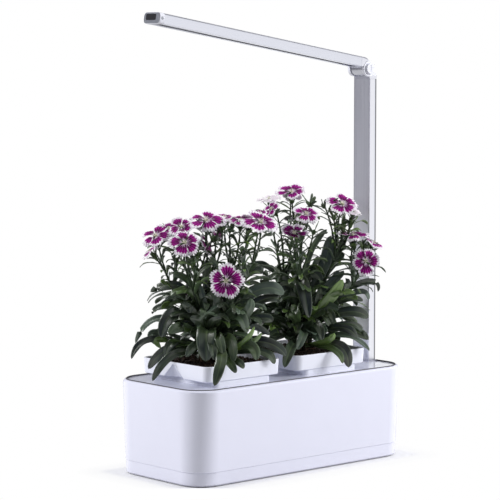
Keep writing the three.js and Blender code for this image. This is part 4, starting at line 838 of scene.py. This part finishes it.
# how far from the middle the picked leaves and the flower stems leave the crown, and how far below a bud or
# flower its stem forks at least
LEAF_FOOT, STEM_FOOT, LEAST_FORK = 7 * MM, 6 * MM, 22 * MM
# lowest root of a picked leaf over the compost, and the height from which a bend lifts its root
LOWEST_ROOT, LOW_BEND = 4 * MM, 12 * MM
# least and greatest length and radius of a calyx in mm
CALYX_LENGTHS, CALYX_RADII = (9, 15), (2.1, 3.3)
# levels of the leaf pairs on a flower stem and on its branches, as shares of their lengths
STEM_LEVEL_SHARES = np.array([0.34, 0.5, 0.64, 0.77, 0.89, 1.0])
BRANCH_LEVEL_SHARES = np.array([0.3, 0.6, 0.88])
# bracts and stamens to a flower, and rings along a stamen and along a stem
BRACTS, STAMENS, STAMEN_STATIONS, STEM_STATIONS = 5, 7, 7, 26
# radius of a stamen, and how far below a flower's foot its branch bends
STAMEN_RADIUS, BRANCH_BEND = 0.32 * MM, 20 * MM
# ranges that the shoots are drawn from: lean, height and distance from the middle in m
SHOOT_LEAN, SHOOT_HEIGHT, SHOOT_FOOT = (0.008, 0.034), (0.045, 0.105), (0.003, 0.012)
# ranges for the leaves on the shoots: length and width in m, and slopes of their three steps in degrees
MASS_LENGTH, MASS_WIDTH = (0.06, 0.1), (0.0105, 0.0165)
MASS_RISE, MASS_BEND, MASS_FALL = (32, 70), (-12, 26), (12, 85)
# ranges for narrow leaves: length and width, open angle in degrees and droop. Those on the flower stems have
# lengths and widths as shares of a size that falls with their height, the others have them in m
STEM_LEAF_SHARES = ((0.85, 1.15), (0.85, 1.15), (25, 60), (0.2, 1.2))
# length and width of a leaf at a flower stem's foot, and what they lose up to its top, in m
STEM_LEAF_LENGTH, STEM_LEAF_WIDTH = (0.07, 0.034), (0.0125, 0.0065)
BRANCH_LEAF = ((0.018, 0.036), (0.003, 0.0055), (20, 60), (0, 1.3))
BRACT = ((0.012, 0.021), (0.0028, 0.0042), (12, 30), (-0.6, 0.1))


def directions(yaws, pitches):
    """Unit vectors at yaws off the view direction and pitches above level, both in degrees."""
    bearing = np.radians(yaws) + AZIMUTH - math.pi / 2
    lift = np.radians(pitches)
    return np.stack([np.cos(lift) * np.cos(bearing), np.cos(lift) * np.sin(bearing), np.sin(lift)], axis=-1)


def picked_leaves(side, centre):
    """Controls, widths and young shares of the leaves read off the photo.

    Each leaf is the curve through its root on the crown, its bend and its tip. The root lies at about half
    the bend's height.
    """
    picks = np.array(LEAF_PICKS[side], float)
    bends = photo_points(picks[:, 0], picks[:, 1], picks[:, 4] * MM, centre)
    tips = photo_points(picks[:, 2], picks[:, 3], picks[:, 5] * MM, centre)
    outward = unit((bends - centre) * LEVEL)
    foot = LOWEST_ROOT + 0.55 * np.maximum(bends[:, 2] - centre[2] - LOW_BEND, 0)
    roots = centre + outward * LEAF_FOOT + RISING * foot[:, None]
    first, second = np.linalg.norm(bends - roots, axis=1), np.linalg.norm(tips - bends, axis=1)
    share = np.clip(first / (first + second), 0.36, 0.64)[:, None]
    knees = (bends - (1 - share) ** 2 * roots - share ** 2 * tips) / (2 * share * (1 - share))
    controls = [roots, roots + (knees - roots) * 2 / 3, tips + (knees - tips) * 2 / 3, tips]
    return controls, picks[:, 6] * 0.94 * MM, picks[:, 7]


def leaf_pairs(starts, knees, ends, level):
    """Places and slopes of leaf pairs at levels along stems, each given twice."""
    pair = [np.repeat(rows[:, :, None], 2, axis=2) for rows in bezier(starts, knees, ends, level)]
    return [rows.reshape(-1, 3) for rows in pair]


def opposite(turns):
    """Each turn and the one across from it."""
    return np.repeat(turns, 2) + np.tile([0, np.pi], len(turns))


def shoot_leaves(side, centre, shoots=12, pairs=5):
    """Leaf pairs on short leaning shoots, each square to the pair below, longer and lower at the foot.

    Those that would point at the photo's side stay short, as there the leaves read off the photo stand.
    """
    bearing = np.linspace(0, 2 * np.pi, shoots, endpoint=False) + rng.uniform(-0.2, 0.2, shoots)
    lean = rng.uniform(*SHOOT_LEAN, shoots)[:, None]
    tall = rng.uniform(*SHOOT_HEIGHT, shoots)[:, None]
    outward = np.stack([np.cos(bearing), np.sin(bearing), np.zeros(shoots)], axis=-1)
    starts = centre + outward * rng.uniform(*SHOOT_FOOT, shoots)[:, None]
    ends = starts + outward * lean + RISING * tall
    knees = starts + outward * lean * 0.2 + RISING * 0.55 * tall
    level = (np.arange(pairs) + 0.7) / pairs
    spots, _ = leaf_pairs(starts, knees, ends, level)
    level = np.tile(np.repeat(level, 2), shoots)
    count = len(spots)
    turn = opposite((bearing[:, None] + np.arange(pairs) * np.pi / 2).ravel()) + rng.normal(0, 0.3, count)
    out = np.stack([np.cos(turn), np.sin(turn), np.zeros(count)], axis=-1)
    length = rng.uniform(*MASS_LENGTH, count) * (1.05 - 0.4 * level)
    length *= 1 - 0.45 * np.clip(-(out @ AWAY) + 0.1, 0, 1)

    def step(angle, part):
        """Part of each leaf's length, outwards and up at an angle in degrees."""
        rise = np.radians(angle)[:, None]
        return (out * np.cos(rise) + RISING * np.sin(rise)) * (length * part)[:, None]

    first = spots + step(rng.uniform(*MASS_RISE, count) + 12 * level, 0.38)
    second = first + step(rng.uniform(*MASS_BEND, count), 0.36)
    tips = second + step(-rng.uniform(*MASS_FALL, count), 0.34)
    widths = rng.uniform(*MASS_WIDTH, count) * (1 - 0.35 * level)
    low, high = np.transpose(SHOOT_ROOM[side])
    tips[:, :2] = np.clip(tips[:, :2], low, high)
    tips[:, 2] = np.maximum(tips[:, 2], SOIL + TIP_CLEARANCE)
    tubes = (starts - RISING * ROOT_DEPTH, knees, ends)
    return ([spots, first, second, tips], widths, rng.uniform(0, 1, count) ** 6 * 0.7), tubes


def flower_stems(centre, picks):
    """Main stems that fork under their flowers.

    A fork lies over 86 percent of the way out to the mean of its flowers' feet, at 74 percent of the lowest
    foot's height over the compost. Gives the flowers' heads, faces, feet and stem numbers, then the three
    controls of each stem.
    """
    faces = directions(picks[:, 4], picks[:, 5])
    heads = photo_points(picks[:, 0], picks[:, 1], picks[:, 2] * MM, centre)
    length = np.clip(picks[:, 3] * 2, *CALYX_LENGTHS) * MM
    feet = heads - faces * length[:, None]
    numbers = picks[:, 6].astype(int)
    count = numbers.max() + 1
    forks = np.stack([feet[numbers == i].mean(axis=0) for i in range(count)])
    lowest = np.array([feet[numbers == i][:, 2].min() for i in range(count)])
    forks[:, :2] = centre[:2] + (forks[:, :2] - centre[:2]) * 0.86
    forks[:, 2] = np.minimum(lowest - LEAST_FORK, SOIL + (lowest - SOIL) * 0.74)
    starts = centre + unit((forks - centre) * LEVEL) * STEM_FOOT - RISING * ROOT_DEPTH
    knees = centre + (forks - centre) * np.array([0.45, 0.45, 0.6])
    return heads, faces, feet, numbers, starts, knees, forks


def leaflets(spots, axes, turns, ranges, spread=0.0, sizes=(1, 1)):
    """Narrow leaves off a stem in three steps: out at an open angle, then wider, then drooping at the tip.

    Lengths, widths, angles and droops are drawn from their ranges, and the turns spread by a bell curve.
    """
    count = len(turns)
    lengths, widths, angles, droops = [rng.uniform(*span, count)[:, None] for span in ranges]
    if spread:
        turns = turns + rng.normal(0, spread, count)
    lengths = lengths * np.reshape(sizes[0], (-1, 1))
    angles = np.radians(angles)
    out = around(axes, turns)
    heading = axes * np.cos(angles) + out * np.sin(angles)
    low = spots + heading * (lengths * 0.4)
    high = low + unit(heading + out * 0.6) * (lengths * 0.36)
    bent = unit(heading * 0.3 + out * 0.6 - RISING * 1.4 * droops)
    tips = high + bent * (lengths * 0.3)
    return [spots, low, high, tips], widths[:, 0] * sizes[1], rng.uniform(0, 1, count) ** 3 * 0.6


def stem_leaves(starts, knees, forks):
    """Narrow leaf pairs at the upper joints of the flower stems, each square to the pair below and smaller."""
    levels = len(STEM_LEVEL_SHARES)
    height = np.tile(np.repeat(STEM_LEVEL_SHARES, 2), len(forks))
    turns = opposite(np.tile(np.arange(levels) * np.pi / 2, len(forks)))
    sizes = [foot - loss * height for foot, loss in (STEM_LEAF_LENGTH, STEM_LEAF_WIDTH)]
    return leaflets(*leaf_pairs(starts, knees, forks, STEM_LEVEL_SHARES), turns, STEM_LEAF_SHARES, 0.25, sizes)


def branch_leaves(forks, knees, feet):
    """Small leaf pairs on the branches, turned at random."""
    turns = opposite(rng.uniform(0, 2 * np.pi, len(BRANCH_LEVEL_SHARES) * len(feet)))
    return leaflets(*leaf_pairs(forks, knees, feet, BRANCH_LEVEL_SHARES), turns, BRANCH_LEAF)


def bract_leaves(feet, faces):
    """Bracts spread evenly round the foot of each calyx."""
    turns = np.tile(np.arange(BRACTS) * 2 * np.pi / BRACTS, len(feet))
    return leaflets(np.repeat(feet, BRACTS, axis=0), np.repeat(faces, BRACTS, axis=0), turns, BRACT, 0.2)


# room kept to the CAD box in mm, stations along a leaf, points to each side, thickness in mm
BROAD_BLADE, NARROW_BLADE = (1, 19, 4, 0.45), (6, 10, 2, 0.3)
# spread of rolls and of twists in radians, share by which the flat side turns to the photo's side
READ_TURNS, LOOSE_TURNS = (0.12, 0.2, 0.68), (0.4, 0.5, 0.0)


def blades(name, side, controls, widths, young):
    """One mesh of leaf blades, kept inside the CAD box: the photo's own leaves turn their flat side to it."""
    broad = name in ("long_leaves", "leaf_mass")
    room, stations, half_count, thickness = BROAD_BLADE if broad else NARROW_BLADE
    roll, twist, facing = READ_TURNS if name == "long_leaves" else LOOSE_TURNS
    controls = [np.clip(control, ROOM_LOW + room * MM, ROOM_HIGH - room * MM) for control in controls]
    count = len(widths)
    points, values = blade_points(
        controls, widths, rng.normal(0, roll, count), stations, half_count, thickness * MM, twist, facing,
    )
    values["tone"] = rng.uniform(0, 1, count)[:, None, None]
    values["young"] = young[:, None, None]
    shape = closed_tubes(f"{name}_{side}", points, values)
    settle(shape, LEAF, f"pot_{side}")
    return shape


def stems(name, side, curves, radius, joints, woody):
    """One mesh of stems of one thickness, with its radius in mm."""
    radii = np.full(len(curves[0]), radius * MM)
    points, values = tube_points(*curves, radii, STEM_STATIONS, nodes=joints)
    values["foot"] = np.full((1, 1, 1), float(woody))
    settle(closed_tubes(f"{name}_{side}", points, values), STEM, f"pot_{side}")


def calyxes(side, heads, faces, feet, radii, is_bud):
    """Calyx tubes and buds: circles from foot to head whose radius follows half a sine."""
    share = np.linspace(0, 1, 9)
    bud = np.sin(np.pi * (0.12 + 0.86 * share)) * 1.1
    tube = 0.72 + 0.5 * np.sin(np.pi * share * 0.8)
    widest = np.where(is_bud, radii, np.clip(radii * 0.18, *CALYX_RADII))[:, None] * MM
    profile = np.where(is_bud[:, None], bud, tube) * widest
    length = np.linalg.norm(heads - feet, axis=1)[:, None] * share
    spine = feet[:, None] + faces[:, None] * length[..., None]
    ring = circles(*frames(faces), 10)[:, None]
    points = spine[:, :, None] + ring * profile[..., None, None]
    settle(closed_tubes(f"calyxes_{side}", points, {}), CALYX, f"pot_{side}")


def petals(side, heads, faces, radii, pale):
    """One mesh of all petals of a plant."""
    points, values = petal_points(heads, faces, radii * MM)
    values["tone"] = rng.uniform(0, 1, len(points))[:, None, None]
    values["pale"] = np.repeat(pale, len(points) // len(pale))[:, None, None]
    shape = closed_tubes(f"petals_{side}", points, values)
    settle(shape, PETAL, f"pot_{side}")
    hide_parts(f"blooms_{side}")


def stamens(side, heads, faces, radii):
    """Thin curved tubes that spread evenly from each throat."""
    base, axis = np.repeat(heads, STAMENS, axis=0), np.repeat(faces, STAMENS, axis=0)
    out = around(axis, np.tile(np.arange(STAMENS) * 2 * np.pi / STAMENS, len(heads)))
    size = np.repeat(radii, STAMENS)[:, None] * MM
    start, end = base - axis * size * 0.05, base + axis * size * 0.26 + out * size * 0.14
    knee = (start + end) / 2 + axis * size * 0.05
    points, _ = tube_points(start, knee, end, np.full(len(base), STAMEN_RADIUS), STAMEN_STATIONS, sides=6)
    settle(closed_tubes(f"stamens_{side}", points, {}), STAMEN, f"pot_{side}")


def dress_plant(side):
    """One dianthus on its pot: leaves, forked stems, calyxes with bracts, buds and fringed flowers."""
    centre = np.array([PLANT_X[side], 0, SOIL])
    flower_picks, bud_picks = np.array(FLOWER_PICKS[side], float), np.array(BUD_PICKS[side], float)
    picks = np.concatenate([flower_picks[:, :7], bud_picks])
    heads, faces, feet, numbers, starts, knees, forks = flower_stems(centre, picks)
    branch_starts, branch_knees = forks[numbers], feet - faces * BRANCH_BEND
    branch_knees[:, 2] = (branch_starts[:, 2] + feet[:, 2]) / 2
    mass, shoots = shoot_leaves(side, centre)
    leaves = {
        "long_leaves": picked_leaves(side, centre),
        "leaf_mass": mass,
        "stem_leaves": stem_leaves(starts, knees, forks),
        "branch_leaves": branch_leaves(branch_starts, branch_knees, feet),
        "bracts": bract_leaves(feet, faces),
    }
    for name, (controls, widths, young) in leaves.items():
        shape = blades(name, side, controls, widths, young)
        if name == "long_leaves":
            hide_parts(f"leaves_{side}")
    stems("main_stems", side, (starts, knees, forks), radius=2.0, joints=6, woody=True)
    stems("branches", side, (branch_starts, branch_knees, feet), radius=1.2, joints=3, woody=False)
    stems("shoots", side, shoots, radius=2.0, joints=6, woody=True)
    blooms = len(flower_picks)
    calyxes(side, heads, faces, feet, picks[:, 3], np.arange(len(picks)) >= blooms)
    petals(side, heads[:blooms], faces[:blooms], picks[:blooms, 3], flower_picks[:, 7])
    stamens(side, heads[:blooms], faces[:blooms], picks[:blooms, 3])


for plant_side in ("left", "right"):
    dress_plant(plant_side)


# growing medium

def soil_material():
    """Damp dark compost with lighter fibres."""
    material, tree = new_material("damp_compost")
    noise = tree.add("ShaderNodeTexNoise", {"Vector": object_vector(tree), "Scale": 260.0, "Detail": 6.0})
    tint = tree.ramp(noise.outputs[0], [
        (0.3, srgb(18, 14, 12)), (0.55, srgb(40, 30, 24)), (0.75, srgb(78, 60, 44)),
    ])
    return surface(material, tree, tint, 0.9, noise.outputs[0], 0.8, 1.0)


COMPOST = soil_material()
# the medium falls away by this much in its outer fifth, and the radii of its crumbs in mm
EDGE_FALL, CRUMB_RADII = 1.6 * MM, (0.8, 2.6)


def crumbs(side, count=520):
    """Compost crumbs: flattened spheres of six by five points, each point's radius drawn at random."""
    low, high = np.array(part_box(f"medium_{side}"))[:, :2]
    spread = (high - low) / 2 * 0.97
    place = rng.uniform(-1, 1, (count, 2))
    size = rng.uniform(*CRUMB_RADII, count) * MM
    edge = np.abs(place).max(axis=1)
    level = SOIL - EDGE_FALL * np.clip((edge - 0.8) / 0.2, 0, 1) + size * 0.1
    centre = np.column_stack([(high + low) / 2 + place * spread, level])
    theta = np.linspace(0, 2 * np.pi, 6, endpoint=False)[None]
    phi = np.linspace(0.12, math.pi - 0.12, 5)[:, None]
    lump = 1 + rng.uniform(-0.3, 0.3, (count, 5, 6))
    flat = [np.sin(phi) * np.cos(theta), np.sin(phi) * np.sin(theta)]
    ball = np.stack([*flat, 0.7 * np.cos(phi) + 0 * theta], axis=-1)
    points = centre[:, None, None] + ball * lump[..., None] * size[:, None, None, None]
    settle(closed_tubes(f"crumbs_{side}", points, {}), COMPOST, f"pot_{side}")


for plant_side in ("left", "right"):
    crumbs(plant_side)
    nodes[f"medium_{plant_side}"].data.materials.clear()
    nodes[f"medium_{plant_side}"].data.materials.append(COMPOST)

# floor, light and camera

AMBIENT, RIGHT_POWER, LEFT_POWER, TOP_POWER = 0.33, 78, 70, 8
# how far the floor's shade reaches from the base, and half the floor's width, in m
SHADE_REACH, FLOOR_HALF = 0.16, 60


def blend(tree, factor, first, second):
    """Shader between a first and a second one."""
    mixed = tree.add("ShaderNodeMixShader", {"Fac": factor})
    tree.tree.links.new(first.outputs[0], mixed.inputs[1])
    tree.tree.links.new(second.outputs[0], mixed.inputs[2])
    return mixed.outputs[0]


def seen_by(path, tree):
    """One for rays that come from the camera, straight, through glass or from a mirror."""
    seen = tree.math("MAXIMUM", path.outputs["Is Camera Ray"], path.outputs["Is Transmission Ray"])
    return tree.math("MAXIMUM", seen, path.outputs["Is Glossy Ray"])


def floor_material():
    """White paper: the further from the outline of the base, the more of it is plain white without shade."""
    material, tree = new_material("floor_white")
    path = tree.add("ShaderNodeLightPath")
    place = tree.add("ShaderNodeVectorMath", {0: object_vector(tree)}, operation="ABSOLUTE").outputs[0]
    beside = tree.add("ShaderNodeVectorMath", {0: place, 1: BASE_HALF}, operation="SUBTRACT").outputs[0]
    beside = tree.add("ShaderNodeVectorMath", {0: beside, 1: (0, 0, 0)}, operation="MAXIMUM").outputs[0]
    away = tree.add("ShaderNodeVectorMath", {0: beside}, operation="LENGTH").outputs["Value"]
    reach = tree.math("DIVIDE", away, SHADE_REACH, clamp=True)
    plain = tree.ramp(reach, [(0.0, 0), (0.03, 0.05), (0.1, 0.72), (0.28, 1)])
    tint = tree.mix(path.outputs["Is Diffuse Ray"], (0.88, 0.88, 0.89, 1), (0.4, 0.4, 0.41, 1))
    diffuse = tree.add("ShaderNodeBsdfDiffuse", {"Color": tint})
    glow = tree.add("ShaderNodeEmission", {"Color": (1, 1, 1, 1), "Strength": 1.0})
    finish_material(tree, blend(tree, tree.times(seen_by(path, tree), plain), diffuse, glow))
    return material


def level_square(half):
    """Corners of a level square round the origin."""
    return np.array([[-1, -1, 0], [1, -1, 0], [1, 1, 0], [-1, 1, 0]]) * half


floor = mesh_object("floor", level_square(FLOOR_HALF), [[0, 1, 2, 3]])
floor.data.materials.append(floor_material())

scene = bpy.context.scene
world = bpy.data.worlds.new("studio")
scene.world = world
world.use_nodes = True
sky = Tree(world.node_tree)
seen = seen_by(sky.add("ShaderNodeLightPath"), sky)
light = sky.add("ShaderNodeBackground", {"Color": (0.96, 0.97, 1.0, 1), "Strength": AMBIENT})
white = sky.add("ShaderNodeBackground", {"Color": (1, 1, 1, 1), "Strength": 1.0})
output = sky.add("ShaderNodeOutputWorld")
sky.tree.links.new(blend(sky, seen, light, white), output.inputs[0])


def softbox(name, place, power, width=1.2, height=1.2, aim=(0, 0, 0.2), glossy=False):
    """White area lamp that looks at the object. Only a glossy one shows in reflections."""
    data = bpy.data.lights.new(name, "AREA")
    data.shape, data.size, data.size_y, data.energy = "RECTANGLE", width, height, power
    lamp = bpy.data.objects.new(name, data)
    scene.collection.objects.link(lamp)
    lamp.location = place
    lamp.rotation_euler = (Vector(aim) - Vector(place)).to_track_quat("-Z", "Y").to_euler()
    lamp.visible_glossy = glossy
    return lamp


def card(name, corners, tone):
    """Four-cornered card of plain grey that shows only in reflections."""
    shape = mesh_object(name, corners, [[0, 1, 2, 3]])
    material, tree = new_material(name)
    glow = tree.add("ShaderNodeEmission", {"Color": (*tone, 1), "Strength": 1.0})
    finish_material(tree, glow.outputs[0])
    shape.data.materials.append(material)
    shape.visible_camera = shape.visible_diffuse = shape.visible_shadow = False
    shape.visible_transmission = False


def flag(name, place, width, height, tone):
    """Upright card that faces the object."""
    x, y = place
    side = unit(np.array([-y, x, 0.0]))
    middle = np.array([x, y, 0.0])
    low, high = middle - side * width / 2, middle + side * width / 2
    card(name, np.array([low, high, high + RISING * height, low + RISING * height]), tone)


def overhead_flag(name, height, width, tone):
    """Level card over the object."""
    card(name, level_square(width / 2) + RISING * height, tone)


flag("grey_flag_rear", (-1.1, 1.25), 2.2, 1.5, (0.3, 0.3, 0.33))
flag("dark_flag_rear", (0.36, 1.39), 1.1, 1.5, (0.36, 0.36, 0.4))
flag("dark_flag_right", (1.35, 0.2), 1.5, 1.5, (0.4, 0.4, 0.44))
overhead_flag("grey_flag_top", 1.7, 5.0, (0.3, 0.3, 0.32))
flag("dark_flag_front", (-0.86, -0.6), 1.3, 1.0, (0.0, 0.0, 0.1))
softbox("front_right", (1.85, -1.7, 1.4), RIGHT_POWER)
softbox("rear_left", (-1.9, 1.7, 1.4), LEFT_POWER)
softbox("top", (0.2, 0.2, 2.4), TOP_POWER, 2.0, 1.6, (0, 0, 0.1))
# two lamps that the leaves mirror, to give them their sheen, and that light nothing else
foliage = bpy.data.collections.new("foliage")
for piece in scene.objects:
    if piece.type == "MESH" and LEAF.name in piece.data.materials:
        foliage.objects.link(piece)
for name, place, power in (("sheen_left", (-0.9, 1.7, 1.9), 60), ("sheen_right", (1.6, -0.2, 2.0), 22)):
    sheen = softbox(name, place, power, 0.9, 0.9, glossy=True)
    sheen.visible_diffuse = False
    sheen.light_linking.receiver_collection = foliage

camera_data = bpy.data.cameras.new("camera")
camera_data.sensor_width = LENS_WIDTH
camera_data.lens = LENS_WIDTH * FOCAL_PIXELS / (2 * PHOTO_MIDDLE)
camera_data.clip_start, camera_data.clip_end = 0.05, 50
camera = bpy.data.objects.new("camera", camera_data)
scene.collection.objects.link(camera)
camera.location = EYE
camera.rotation_euler = Vector(-BACK).to_track_quat("-Z", "Y").to_euler()
scene.camera = camera
scene.view_settings.view_transform = "Standard"
